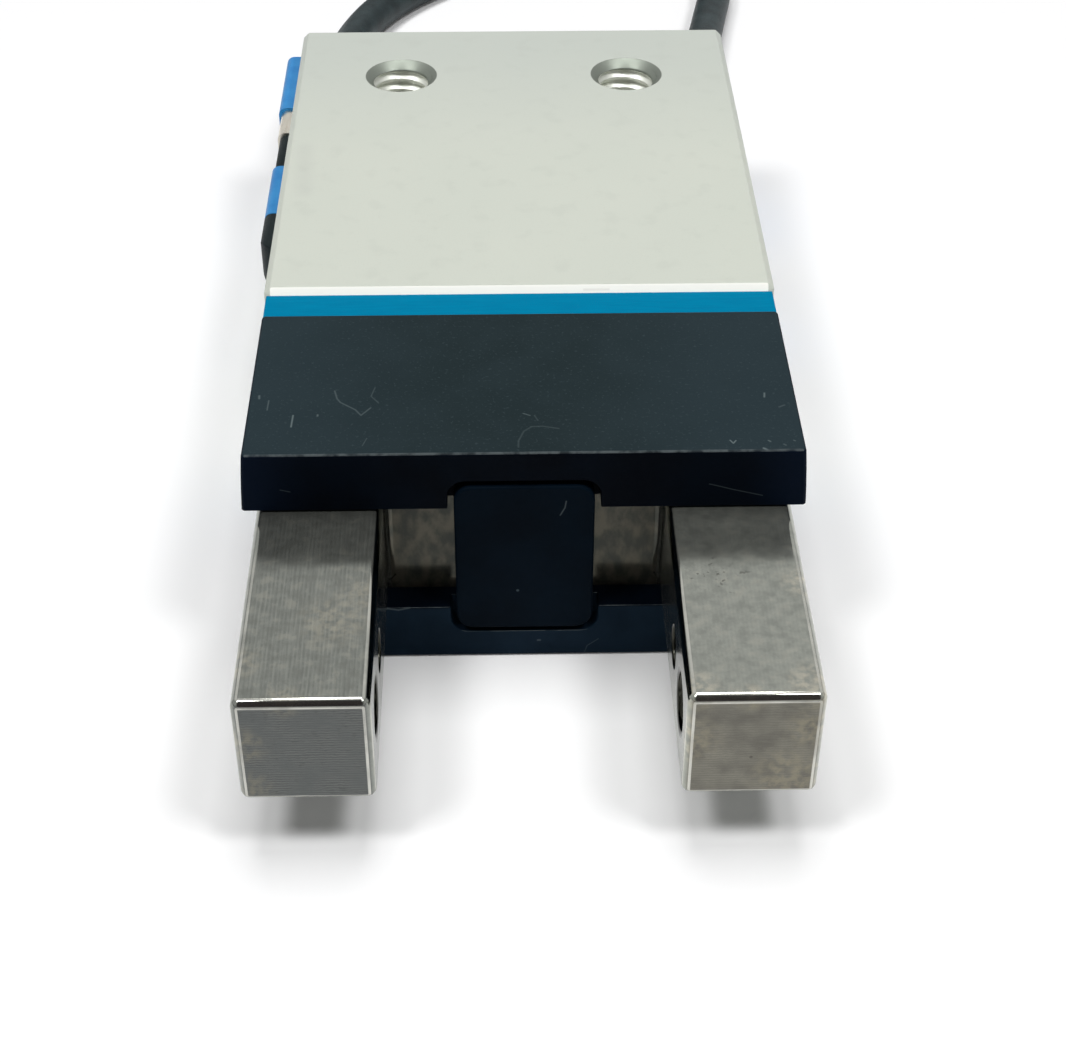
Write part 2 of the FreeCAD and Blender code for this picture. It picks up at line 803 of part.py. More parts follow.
def bends(route):
    """The tangent arcs of a route: where each starts, passes and ends, and its radius."""
    arcs = []
    for before, corner, after in zip(route, route[1:], route[2:]):
        run_in = before - corner
        run_out = after - corner
        half_turn = (math.pi - run_in.getAngle(run_out)) / 2
        cut_back = 0.45 * min(run_in.Length, run_out.Length)
        radius = cut_back / math.tan(half_turn)
        inward = (run_in.normalize() + run_out.normalize()).normalize()
        middle = corner + inward * (radius / math.cos(half_turn) - radius)
        arcs.append((corner + run_in * cut_back, middle, corner + run_out * cut_back, radius))
    return arcs


def lead_tube(name, points, cutter):
    """A lead along its route: straight runs and tangent arcs, cut off where the coil begins."""
    route = [Vector(*p) for p in points]
    arcs = bends(route)
    edges = []
    here = route[0]
    for start, middle, end, _ in arcs:
        edges.append(Part.LineSegment(here, start).toShape())
        edges.append(Part.Arc(start, middle, end).toShape())
        here = end
    edges.append(Part.LineSegment(here, route[-1]).toShape())
    path = Part.Wire(edges)
    section = Part.Wire(Part.makeCircle(lead_d / 2, route[0], route[1] - route[0]))
    tube = path.makePipeShell([section], True, True)
    expected = math.pi * lead_d**2 / 4 * path.Length
    radii = [round(radius, 1) for *_, radius in arcs]
    print(name, "radii", radii, "length", round(path.Length, 1), "volume", round(tube.Volume / expected, 4))
    return tube.cut(cutter)


def lead_coil():
    """The outer shape of both leads wound together into one coil."""
    low = coil_centre + UP * tie_thickness
    ring = Part.makeCylinder(coil_mean_r + lead_d, coil_height, low, UP)
    ring = ring.cut(Part.makeCylinder(coil_mean_r - lead_d, coil_height, low, UP))
    rims = [e for e in ring.Edges if e.Curve.TypeId == "Part::GeomCircle"]
    return ring.makeFillet(coil_edge_radius, rims)


def coil_tie():
    """The flat tie around the left of the coil."""
    near = coil_centre.x - coil_mean_r - lead_d - tie_gap
    far = coil_centre.x - coil_mean_r + lead_d + tie_gap
    y0 = coil_centre.y - tie_width / 2
    y1 = coil_centre.y + tie_width / 2
    top = tie_thickness + coil_height + tie_gap
    band = box(near - tie_thickness, far + tie_thickness, y0, y1, 0, top + tie_thickness)
    band = band.makeFillet(tie_thickness, edges_along(band, BACK))
    return band.cut(box(near, far, y0, y1, tie_thickness, top))


def placed_on_end(shape, points):
    """A plug piece, made along +Y from the origin, moved to the end of a lead."""
    end = Vector(*points[-1])
    run = end - Vector(*points[-2])
    heading = math.degrees(math.atan2(-run.x, run.y))
    copy = shape.copy()
    copy.rotate(Vector(0, 0, 0), UP, heading)
    copy.translate(end)
    return copy


def plug_cylinder(radius, y0, y1):
    """A cylinder along a plug's own axis."""
    return Part.makeCylinder(radius, y1 - y0, Vector(0, y0, 0), BACK)


def plug_grip():
    """The moulded body of a plug: a tapered relief and a ribbed grip."""
    relief = Part.makeCone(plug_relief_d / 2, plug_shoulder_d / 2, plug_relief_length, Vector(0, 0, 0), BACK)
    end = plug_relief_length + plug_grip_length
    grip = plug_cylinder(plug_grip_d / 2, plug_relief_length, end)
    grooves = []
    pitch = plug_grip_length / (2 * plug_ribs)
    for k in range(plug_ribs):
        start = plug_relief_length + (2 * k + 0.5) * pitch
        outer = plug_cylinder(plug_grip_d / 2, start, start + pitch)
        grooves.append(outer.cut(plug_cylinder(plug_grip_d / 2 - plug_rib_depth, start, start + pitch)))
    return relief.fuse(grip).cut(grooves).removeSplitter()


def plug_nut():
    """The metal coupling nut of a plug."""
    start = plug_relief_length + plug_grip_length
    nut = plug_cylinder(plug_nut_d / 2, start, start + plug_nut_length)
    rims = [e for e in nut.Edges if e.Curve.TypeId == "Part::GeomCircle"]
    nut = nut.makeChamfer(plug_rib_depth, rims)
    return nut.cut(plug_cylinder(plug_nut_bore_d / 2, start, start + plug_nut_length))


def plug_insert():
    """The contact carrier of a plug with its pins."""
    start = plug_relief_length + plug_grip_length
    pins_start = start + plug_insert_length
    carrier = plug_cylinder(plug_insert_d / 2, start, pins_start)
    pins = []
    for k in range(plug_pins):
        turn = 2 * math.pi * k / plug_pins
        pin = plug_cylinder(plug_pin_d / 2, pins_start, pins_start + plug_pin_length)
        pin.translate(Vector(math.cos(turn), 0, math.sin(turn)) * (plug_pin_circle_d / 2))
        pins.append(pin)
    return carrier.fuse(pins).removeSplitter()


# The fixed pieces
save("housing", housing())
save("spacer_plate", spacer_plate())
save("guide_block", guide_block())
save("centre_stop", centre_stop())
save("stop_pin", stop_pin())
save("lever_pins", *lever_pins())
save("cylinder_cover", cylinder_cover())
save("cover_seal", cover_seal_ring(cover_d / 2))
save("rod_bush", rod_bush())
save("rod_seal", rod_seal())
save("guide_screws", *guide_screws())
save("guide_dowels", *guide_dowels())

# The moving pieces
save("right_jaw", right_jaw())
save("left_jaw", mirrored(right_jaw()))
save("right_lever", right_lever())
save("left_lever", mirrored(right_lever()))
save("piston", piston())
save("piston_seal", piston_seal())
save("magnet_ring", magnet_ring())
save("magnet_retainer", magnet_retainer())
save("piston_rod", piston_rod())
save("return_spring", return_spring())

# The switches
for piece, make in (
    ("switch_body", switch_body),
    ("switch_band", switch_band),
    ("switch_clamp", switch_clamp),
    ("clamp_screw", clamp_screw),
    ("switch_tail", switch_tail),
):
    save("left_" + piece, make())
    save("right_" + piece, turned_around(make()))

# The leads, their coil and plugs
coil = lead_coil()
save("lead_coil", coil)
save("coil_tie", coil_tie())
for side, route, end_route in (
    ("left", left_lead_route, left_end_route),
    ("right", right_lead_route, right_end_route),
):
    save(side + "_lead", lead_tube(side + "_lead", route, coil))
    save(side + "_lead_end", lead_tube(side + "_lead_end", end_route, coil))
    save(side + "_plug_grip", placed_on_end(plug_grip(), end_route))
    save(side + "_plug_nut", placed_on_end(plug_nut(), end_route))
    save(side + "_plug_insert", placed_on_end(plug_insert(), end_route))
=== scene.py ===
import json
import math

import bmesh
import bpy
from mathutils import Matrix, Vector


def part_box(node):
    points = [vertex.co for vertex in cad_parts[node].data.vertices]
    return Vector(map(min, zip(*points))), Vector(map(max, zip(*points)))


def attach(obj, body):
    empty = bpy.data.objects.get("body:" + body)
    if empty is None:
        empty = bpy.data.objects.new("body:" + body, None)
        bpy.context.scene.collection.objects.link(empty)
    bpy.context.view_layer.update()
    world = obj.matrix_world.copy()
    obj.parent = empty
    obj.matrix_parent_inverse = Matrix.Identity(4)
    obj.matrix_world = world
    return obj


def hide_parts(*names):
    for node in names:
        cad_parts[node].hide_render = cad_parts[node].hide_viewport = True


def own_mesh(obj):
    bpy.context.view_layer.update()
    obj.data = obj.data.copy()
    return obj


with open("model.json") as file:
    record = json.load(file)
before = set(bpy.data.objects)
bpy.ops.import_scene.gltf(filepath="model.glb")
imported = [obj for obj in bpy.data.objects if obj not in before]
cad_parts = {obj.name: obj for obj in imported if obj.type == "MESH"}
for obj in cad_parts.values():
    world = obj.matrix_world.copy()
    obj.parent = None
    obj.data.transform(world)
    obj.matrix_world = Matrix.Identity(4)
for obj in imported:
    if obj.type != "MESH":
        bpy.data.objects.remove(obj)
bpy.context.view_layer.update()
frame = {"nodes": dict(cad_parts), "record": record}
nodes = frame["nodes"]
scene = bpy.context.scene
MM = 0.001

# The camera, fitted to the photograph: place in millimetres, turns in degrees
CAMERA_PLACE = (-1.171, -113.09, 69.119)
CAMERA_DOWN = 39.424
CAMERA_YAW = -1.228
CAMERA_ROLL = 0.115
PHOTO_WIDTH = 1066
FOCAL_PIXELS = 1974.6
SENSOR_WIDTH = 36.0

# The leads, in millimetres: the solids' routes, with five points of the left one moved
LEAD_DIAMETER = 2.6
LEFT_LEAD_ROUTE = [
    (-12.2, 8.4, 8.4),
    (-12.2, 11.6, 8.4),
    (-12.35, 15.1, 7.2),
    (-12.5, 18.7, 5.2),
    (-12.55, 21.95, 3.45),
    (-12.5, 25.65, 1.95),
    (-12.2, 29.7, 1.3),
    (-10.85, 33.9, 1.3),
    (-8.4, 38.0, 1.3),
    (-4.3, 42.2, 1.3),
    (0.7, 45.9, 1.3),
]
RIGHT_LEAD_ROUTE = [
    (12.2, 8.4, 4.6),
    (12.2, 12.4, 4.6),
    (12.4, 16.6, 3.95),
    (13.1, 21.0, 2.95),
    (14.2, 25.3, 1.9),
    (15.15, 29.6, 1.35),
    (15.9, 33.6, 1.3),
    (16.8, 38.0, 1.3),
    (17.1, 43.8, 1.3),
    (16.3, 50.2, 1.3),
    (14.8, 56.8, 1.5),
]
LEFT_END_ROUTE = [
    (10.2, 67.5, 7.4),
    (9.0, 74.0, 6.3),
    (8.2, 80.2, 4.8),
    (7.6, 86.0, 4.8),
]
RIGHT_END_ROUTE = [
    (13.7, 66.0, 6.7),
    (15.2, 72.2, 5.6),
    (16.7, 78.2, 4.8),
    (17.3, 84.0, 4.8),
]
END_ROUTES = {"left": LEFT_END_ROUTE, "right": RIGHT_END_ROUTE}

# The coil, in millimetres: turns as steps of angle in degrees and height
COIL_CENTRE = (-2.0, 60.0)
COIL_POINTS_PER_TURN = 18
LEFT_COIL_RADIUS = 12.7
LEFT_COIL_STEPS = [(-46, 1.4), (0, 1.85), (230, 1.85), (312, 4.1), (590, 4.45), (674, 6.9), (725, 7.3)]
RIGHT_COIL_RADIUS = 15.3
RIGHT_COIL_STEPS = [(12, 1.85), (215, 1.85), (296, 4.1), (372, 4.5), (565, 4.5), (655, 6.8), (718, 7.0)]

# Plugs, in millimetres
GRIP_END = 16.0
NUT_LENGTH = 9.0
NUT_RADIUS = 4.8
NUT_BORE_RADIUS = 3.6
NUT_EDGE = 0.4
NUT_COLLAR = 1.2
NUT_REAR_EDGE = 0.25
NUT_FRONT_EDGE = 0.3
NUT_END_STEPS = (0.35, 0.5)
NUT_GROOVE_DEPTH = 0.25
NUT_GROOVE_START = NUT_COLLAR + 0.2
NUT_GROOVE_END = NUT_COLLAR + 0.5
NUT_RIDGES_START = NUT_COLLAR + 0.7
NUT_RIDGES = 44
NUT_RIDGE_DEPTH = 0.2
PINS_START = 21.0

# The tie, in millimetres
TIE_THICKNESS = 0.5
TIE_TOP = 6.4
TIE_CORNER = 1.0
TIE_BORDER = 0.5
TIE_RIB_STEP = 0.3
TIE_RIB_DEPTH = 0.12
TIE_EDGE = 0.22
TIE_HEAD_SIZE = (3.4, 5.4, 2.6)
TIE_HEAD_SHIFT = (0.4, 0, 1.2)
TIE_TAIL_SIZE = (3.2, 3.6, 0.6)
TIE_TAIL_SHIFT = (3.4, 0, 1.3)

# Holes, in millimetres
MOUNT_HOLE_X = 7.0
MOUNT_MOUTH_RADIUS = 2.2
MOUNT_MOUTH_DEPTH = 0.6
M3_MOUTH_RADIUS = 1.6
REAR_HOLE_X = 4.0
REAR_HOLE_Z = 6.5
REAR_HOLE_END_Y = 1.9
PORT_Y = (-4.2, -18.6)
PORT_Z = 7.1
PORT_END_X = 8.0
FINGER_HOLE_Y = -49.2
PIN_HOLE_Y = -45.5
PIN_MOUTH_RADIUS = 1.1
JAW_MID_Z = 6.5

# Threads, in millimetres: core radius, pitch and depth, then where they start and how long they are
M4_THREAD = (1.65, 0.7, 0.33)
M3_THREAD = (1.25, 0.5, 0.22)
MOUNT_THREAD_START_Z = -0.2
MOUNT_THREAD_LENGTH = 13.4
REAR_THREAD_START_Y = 6.8
REAR_THREAD_LENGTH = 4.5
PORT_THREAD_START_X = 13.8
PORT_THREAD_LENGTH = 4.3
FINGER_THREAD_START_X = 13.3
FINGER_THREAD_LENGTH = 6.8

# How meshes are welded and shaded: millimetres, then degrees
WELD_DISTANCE = 0.0005
FLAT_ANGLE = 0.3
BEVEL_ANGLE = 25
SHARP_ANGLE = 38
NUT_SHARP_ANGLE = 25
TIE_SHARP_ANGLE = 30

# How far edges are softened, in millimetres
CASE_EDGE = 0.06
SPACER_EDGE = 0.05
GUIDE_EDGE = 0.06
STOP_EDGE = 0.12
SWITCH_EDGE = 0.08
JAW_EDGE = 0.13

# The floor: half its width in metres, and in millimetres its height and where it grows paler
FLOOR_HALF = 20.0
FLOOR_LEVEL = -0.02
PALE_FROM = 50
PALE_TO = 700

# Noses of the switches, in millimetres: their place, and how round the solids and the pieces are
NOSE_TIP_Y = -17.8
NOSE_LENGTH = 4.8
NOSE_REACH = 14.62
NOSE_DEPTH = 0.97
NOSE_SOLID_RADIUS = 3.6
NOSE_RADIUS = 1.9
NOSE_SET_BACK = 0.5

# Faces and stretches that the finishes refer to, in millimetres
TOP_Z = 13.0
# Where the housing's top runs from its painted shade at the rear to its lit front
HOUSING_SHADE_Y = (6.0, -12.0)
GUIDE_MIDDLE_X = -1.0
GUIDE_TONE_X = (2.0, 13.0)
GUIDE_ENDS_X = (10.0, 13.2)
CHAMFER_MID_Z = 12.85
GUIDE_FRONT_Y = -39.0
LIP_TOP_Z = 3.34
STOP_FRONT_Y = -39.1
JAW_TOP_Z = 9.5
JAW_TIP_Y = -52.1
JAW_BASE_X = 6.9

# Scratches, smears and stains, in millimetres: points, width and strength
HOUSING_SMEARS = [([(-12.37, -9.2), (-12.03, -14.4)], 0.9, 0.09)]
CHAMFER_STAINS = [([(3.4, -24.6), (4.7, -24.6)], 0.13, 0.35)]
STOP_SCRATCHES = [([(2.01, 10.13), (1.95, 9.73), (1.73, 9.28)], 0.06, 0.4)]
TOP_SCRATCHES = [
    ([(-12.86, -34.17), (-12.84, -34.41)], 0.09, 0.6),
    ([(-12.36, -34.58), (-12.38, -35.37)], 0.06, 0.45),
    ([(-11.09, -35.83), (-11.12, -36.76)], 0.07, 0.9),
    ([(-9.91, -35.8), (-9.91, -35.9)], 0.08, 0.6),
    ([(-9.2, -33.83), (-9.05, -34.48), (-8.87, -34.8), (-8.12, -35.41)], 0.07, 0.4),
    ([(-8.12, -35.41), (-7.82, -35.88), (-7.38, -35.27)], 0.07, 0.4),
    ([(-7.24, -33.59), (-7.4, -34.31), (-7.01, -34.88)], 0.06, 0.25),
    ([(-7.46, -37.74), (-7.64, -38.31)], 0.05, 0.25),
    ([(0.0, -35.86), (0.32, -36.03)], 0.06, 0.5),
    ([(0.54, -36.03), (0.7, -36.45)], 0.06, 0.2),
    ([(-0.27, -38.56), (-0.26, -38.07), (0.01, -37.3), (0.39, -36.94)], 0.08, 0.2),
    ([(0.39, -36.94), (0.91, -36.92), (1.67, -37.11)], 0.08, 0.2),
    ([(11.83, -34.38), (11.79, -34.71)], 0.08, 0.8),
    ([(12.42, -35.55), (12.69, -35.4)], 0.08, 0.3),
    ([(9.78, -38.2), (9.91, -38.44), (10.05, -38.23)], 0.06, 1.0),
    ([(11.6, -38.25), (11.68, -38.32)], 0.07, 0.7),
    ([(11.3, -38.84), (11.48, -38.94)], 0.08, 1.0),
    ([(12.3, -38.55), (12.38, -38.63)], 0.08, 0.4),
    ([(12.8, -38.25), (12.86, -38.3)], 0.06, 0.5),
]
FRONT_SCRATCHES = [
    ([(8.84, 11.01), (10.1, 10.63), (11.43, 10.28)], 0.05, 0.35),
    ([(-11.63, 10.93), (-11.17, 10.81)], 0.05, 0.3),
    ([(-7.01, 3.33), (-6.32, 3.2), (-5.76, 3.33)], 0.09, 0.6),
    ([(3.75, 1.08), (3.19, 0.62), (3.06, 0.17)], 0.05, 0.3),
    ([(0.68, 1.04), (0.78, 1.04)], 0.1, 0.5),
]

# Round marks, in millimetres: centre and radius
STOP_SPECK = ((-0.34, STOP_FRONT_Y, 4.5), 0.1)
LEFT_JAW_PIT = ((-9.0, -44.0, JAW_TOP_Z), 0.06)
RIGHT_JAW_PIT = ((9.81, JAW_TIP_Y, 5.9), 0.1)
RIGHT_PIT_FIELD = ((8.8, -43.6, JAW_TOP_Z), 2.6)
LEFT_JAW_STAINS = [
    ((-8.7, -46.8, JAW_TOP_Z), 2.2),
    ((-7.4, -45.0, JAW_TOP_Z), 1.5),
    ((-10.6, -51.8, JAW_TOP_Z), 1.1),
    ((-12.8, -49.5, JAW_TOP_Z), 1.4),
    ((-12.7, JAW_TIP_Y, 4.2), 1.7),
    ((-12.6, JAW_TIP_Y, 7.0), 1.5),
]
RIGHT_JAW_STAINS = [
    ((7.3, -51.4, JAW_TOP_Z), 1.4),
    ((9.6, -52.0, JAW_TOP_Z), 1.0),
    ((12.4, -51.2, JAW_TOP_Z), 1.7),
    ((12.8, -44.5, JAW_TOP_Z), 1.4),
    ((6.9, JAW_TIP_Y, 7.0), 2.0),
    ((11.6, JAW_TIP_Y, 4.6), 2.4),
    ((12.4, JAW_TIP_Y, 7.6), 1.6),
]


def shade(red, green, blue):
    """A colour as a picture shows it, 0 to 255, in the shader's linear values."""
    linear = [((c / 255 + 0.055) / 1.055) ** 2.4 for c in (red, green, blue)]
    return (*linear, 1.0)


class Finish:
    """A procedural material made by short calls, with its textures laid out in millimetres."""

    def __init__(self, name, color=(0.5, 0.5, 0.5, 1), roughness=0.5, metallic=0.0, specular=0.5):
        self.material = bpy.data.materials.new(name)
        self.material.use_nodes = True
        self.tree = self.material.node_tree
        self.shader = self.tree.nodes["Principled BSDF"]
        self.shader.inputs["Base Color"].default_value = color
        self.shader.inputs["Roughness"].default_value = roughness
        self.shader.inputs["Metallic"].default_value = metallic
        self.shader.inputs["Specular IOR Level"].default_value = specular
        source = self.tree.nodes.new("ShaderNodeTexCoord")
        self.normal = source.outputs["Normal"]
        self.place = self.vector("MULTIPLY", source.outputs["Object"], (1 / MM, 1 / MM, 1 / MM))

    def feed(self, socket, value):
        """A constant or another node's output goes into a socket."""
        if isinstance(value, bpy.types.NodeSocket):
            self.tree.links.new(value, socket)
        else:
            socket.default_value = value

    def vector(self, operation, *values):
        """A vector sum, product, distance and so on."""
        node = self.tree.nodes.new("ShaderNodeVectorMath")
        node.operation = operation
        for socket, value in zip(node.inputs, values):
            self.feed(socket, value)
        single = operation in ("DOT_PRODUCT", "DISTANCE", "LENGTH")
        return node.outputs["Value" if single else "Vector"]

    def math(self, operation, *values):
        """A sum, product and so on of numbers."""
        node = self.tree.nodes.new("ShaderNodeMath")
        node.operation = operation
        for socket, value in zip(node.inputs, values):
            self.feed(socket, value)
        return node.outputs[0]

    def times(self, first, *others):
        """The product of masks and numbers."""
        for other in others:
            first = self.math("MULTIPLY", first, other)
        return first

    def band(self, value, low, high, start=0.0, end=1.0):
        """A soft step from one number below low to another above high."""
        node = self.tree.nodes.new("ShaderNodeMapRange")
        node.interpolation_type = "SMOOTHSTEP"
        for socket, number in zip(node.inputs, (value, low, high, start, end)):
            self.feed(socket, number)
        return node.outputs[0]

    def noise(self, scale, stretch=(1, 1, 1), detail=3.0):
        """Noise with so many swells to a millimetre, drawn out where stretch is small."""
        node = self.tree.nodes.new("ShaderNodeTexNoise")
        self.feed(node.inputs["Vector"], self.vector("MULTIPLY", self.place, stretch))
        node.inputs["Scale"].default_value = scale
        node.inputs["Detail"].default_value = detail
        return node.outputs[0]

    def mix(self, share, first, second):
        """One colour over another."""
        node = self.tree.nodes.new("ShaderNodeMix")
        node.data_type = "RGBA"
        self.feed(node.inputs[0], share)
        self.feed(node.inputs[6], first)
        self.feed(node.inputs[7], second)
        return node.outputs[2]

    def blend(self, share, first, second):
        """A number between two others."""
        node = self.tree.nodes.new("ShaderNodeMix")
        self.feed(node.inputs[0], share)
        self.feed(node.inputs[2], first)
        self.feed(node.inputs[3], second)
        return node.outputs[0]

    def most(self, *masks):
        """The strongest of several masks."""
        result = masks[0]
        for mask in masks[1:]:
            result = self.math("MAXIMUM", result, mask)
        return result

    def facing(self, *direction):
        """How far the surface faces a direction: 1 straight at it, -1 away from it."""
        return self.vector("DOT_PRODUCT", self.normal, Vector(direction).normalized())

    def parts(self, vector):
        """The three coordinates of a vector."""
        node = self.tree.nodes.new("ShaderNodeSeparateXYZ")
        self.tree.links.new(vector, node.inputs[0])
        return node.outputs

    def spot(self, centre, radius, soft=0.5):
        """A round patch about a point, fading out over the outer share of its radius."""
        return self.band(self.vector("DISTANCE", self.place, centre), radius, radius * (1 - soft))

    def hole(self, axis, centre, radius, fade=0.04):
        """Everything within a radius of a line along one axis through a point."""
        keep = [1.0, 1.0, 1.0]
        keep[axis] = 0.0
        flat = self.vector("MULTIPLY", self.place, keep)
        middle = [c * k for c, k in zip(centre, keep)]
        return self.band(self.vector("DISTANCE", flat, middle), radius + fade, radius)

    def ribs(self, along, turns, wander):
        """A wave from 0 to 1 along a coordinate, with so many radians to a millimetre, bent by wander."""
        swing = self.math("ADD", self.times(along, turns), wander)
        return self.math("MULTIPLY_ADD", self.math("SINE", swing), 0.5, 0.5)

    def stroke(self, points, width):
        """A thin line through points on the surface."""
        masks = []
        for start, end in zip(points, points[1:]):
            node = self.tree.nodes.new("ShaderNodeGroup")
            node.node_tree = stroke_group()
            self.tree.links.new(self.place, node.inputs["Place"])
            node.inputs["Start"].default_value = start
            node.inputs["End"].default_value = end
            node.inputs["Width"].default_value = width
            masks.append(node.outputs["Mask"])
        return self.most(*masks)

    def scratches(self, listed, lift):
        """Several strokes of given strength, each point raised to its face by lift."""
        masks = []
        for points, width, strength in listed:
            stroke = self.stroke([lift(*point) for point in points], width)
            masks.append(self.times(stroke, strength))
        return self.most(*masks)

    def paint(self, color):
        """The base colour."""
        self.feed(self.shader.inputs["Base Color"], color)

    def rough(self, value):
        """The roughness."""
        self.feed(self.shader.inputs["Roughness"], value)

    def metal(self, value):
        """Where the surface is bare metal."""
        self.feed(self.shader.inputs["Metallic"], value)

    def relief(self, height, depth):
        """Fine relief, with its depth in millimetres."""
        node = self.tree.nodes.new("ShaderNodeBump")
        node.inputs["Distance"].default_value = depth * MM
        self.feed(node.inputs["Height"], height)
        self.tree.links.new(node.outputs[0], self.shader.inputs["Normal"])


def stroke_group():
    """A node group that is 1 along the line between two points and fades to 0 across its width."""
    group = bpy.data.node_groups.get("stroke")
    if group:
        return group
    group = bpy.data.node_groups.new("stroke", "ShaderNodeTree")
    for name, kind in (("Place", "Vector"), ("Start", "Vector"), ("End", "Vector"), ("Width", "Float")):
        group.interface.new_socket(name, in_out="INPUT", socket_type="NodeSocket" + kind)
    group.interface.new_socket("Mask", in_out="OUTPUT", socket_type="NodeSocketFloat")
    source = group.nodes.new("NodeGroupInput").outputs
    target = group.nodes.new("NodeGroupOutput").inputs

    def vector(operation, first, second):
        node = group.nodes.new("ShaderNodeVectorMath")
        node.operation = operation
        group.links.new(first, node.inputs[0])
        group.links.new(second, node.inputs["Scale" if operation == "SCALE" else 1])
        return node.outputs["Value" if operation in ("DOT_PRODUCT", "DISTANCE") else "Vector"]

    from_start = vector("SUBTRACT", source["Place"], source["Start"])
    run = vector("SUBTRACT", source["End"], source["Start"])
    share = group.nodes.new("ShaderNodeMath")
    share.operation = "DIVIDE"
    share.use_clamp = True
    group.links.new(vector("DOT_PRODUCT", from_start, run), share.inputs[0])
    group.links.new(vector("DOT_PRODUCT", run, run), share.inputs[1])
    apart = vector("DISTANCE", from_start, vector("SCALE", run, share.outputs[0]))
    fade = group.nodes.new("ShaderNodeMapRange")
    fade.interpolation_type = "SMOOTHSTEP"
    group.links.new(apart, fade.inputs[0])
    group.links.new(source["Width"], fade.inputs[1])
    fade.inputs[2].default_value = 0.0
    group.links.new(fade.outputs[0], target["Mask"])
    return group


def housing_metal():
    """Satin anodised aluminium, painted darker towards the rear as painted shade, with a painted highlight
    along the chamfer at its front, and bare metal in its holes, some of it painted darker as painted shade
    and reflection.
    """
    f = Finish("housing_metal", specular=0.35)
    cloud = f.noise(0.16, detail=2)
    grain = f.noise(11, detail=1)
    y = f.parts(f.place)[1]
    # The top is painted darker towards the rear: painted shade, where less light falls.
    rear_painted_shade_tone = f.mix(cloud, shade(194, 200, 192), shade(197, 202, 194))
    front_tone = f.mix(cloud, shade(203, 208, 197), shade(206, 210, 199))
    tone = f.mix(f.band(y, *HOUSING_SHADE_Y), rear_painted_shade_tone, front_tone)
    tone = f.mix(f.band(grain, 0.6, 0.75, 0, 0.15), tone, shade(170, 174, 168))
    smudge = f.band(f.noise(0.7, detail=5), 0.52, 0.72, 0, 0.14)
    tone = f.mix(smudge, tone, shade(178, 183, 174))
    smear = f.scratches(HOUSING_SMEARS, lambda x, y: (x, y, TOP_Z))
    tone = f.mix(smear, tone, shade(150, 150, 152))
    # The chamfer at the front is painted near white: a painted highlight.
    chamfer = f.band(f.facing(0, -1, 1), 0.9, 0.97)
    tone = f.mix(chamfer, tone, shade(255, 254, 246))
    stain = f.scratches(CHAMFER_STAINS, lambda x, y: (x, y, CHAMFER_MID_Z))
    tone = f.mix(stain, tone, shade(122, 98, 84))
    bare, inside = housing_holes(f)
    f.paint(f.mix(bare, tone, inside))
    f.metal(f.times(bare, 0.8))
    f.rough(f.blend(bare, f.band(cloud, 0.3, 0.7, 0.44, 0.52), 0.46))
    f.relief(grain, 0.003)
    return f.material


def housing_holes(f):
    """Where the housing's holes are, and the tone of their walls: pale thread, mouth cones darkened as a
    painted reflection, rear holes and ports darkened as painted shade.
    """
    x, y, z = f.parts(f.place)
    mounts = f.most(*[f.hole(2, (side * MOUNT_HOLE_X, 0, 0), MOUNT_MOUTH_RADIUS) for side in (-1, 1)])
    rear = f.most(*[f.hole(1, (side * REAR_HOLE_X, 0, REAR_HOLE_Z), M3_MOUTH_RADIUS) for side in (-1, 1)])
    rear = f.times(rear, f.band(y, REAR_HOLE_END_Y, REAR_HOLE_END_Y + 0.1))
    ports = f.most(*[f.hole(0, (0, port_y, PORT_Z), M3_MOUTH_RADIUS) for port_y in PORT_Y])
    ports = f.times(ports, f.band(x, PORT_END_X, PORT_END_X + 0.1))
    # The mounting holes' cones are painted darker than their pale thread: a painted dark reflection.
    mouth_low = TOP_Z - MOUNT_MOUTH_DEPTH
    cone = f.times(mounts, f.band(z, mouth_low, mouth_low + 0.06))
    inside = f.mix(cone, shade(246, 248, 240), shade(136, 142, 133))
    # The rear holes and ports are painted dark inside: painted shade.
    inside = f.mix(f.most(rear, ports), inside, shade(92, 94, 91))
    return f.most(mounts, rear, ports), inside


def blue_plate():
    """Blue lacquered plate with a faint brushed grain."""
    f = Finish("blue_plate", specular=0.01)
    brushed = f.noise(6, stretch=(0.1, 1, 1), detail=3)
    f.paint(f.mix(brushed, shade(0, 114, 154), shade(0, 131, 170)))
    f.rough(f.band(brushed, 0.3, 0.7, 0.38, 0.5))
    f.relief(brushed, 0.003)
    return f.material


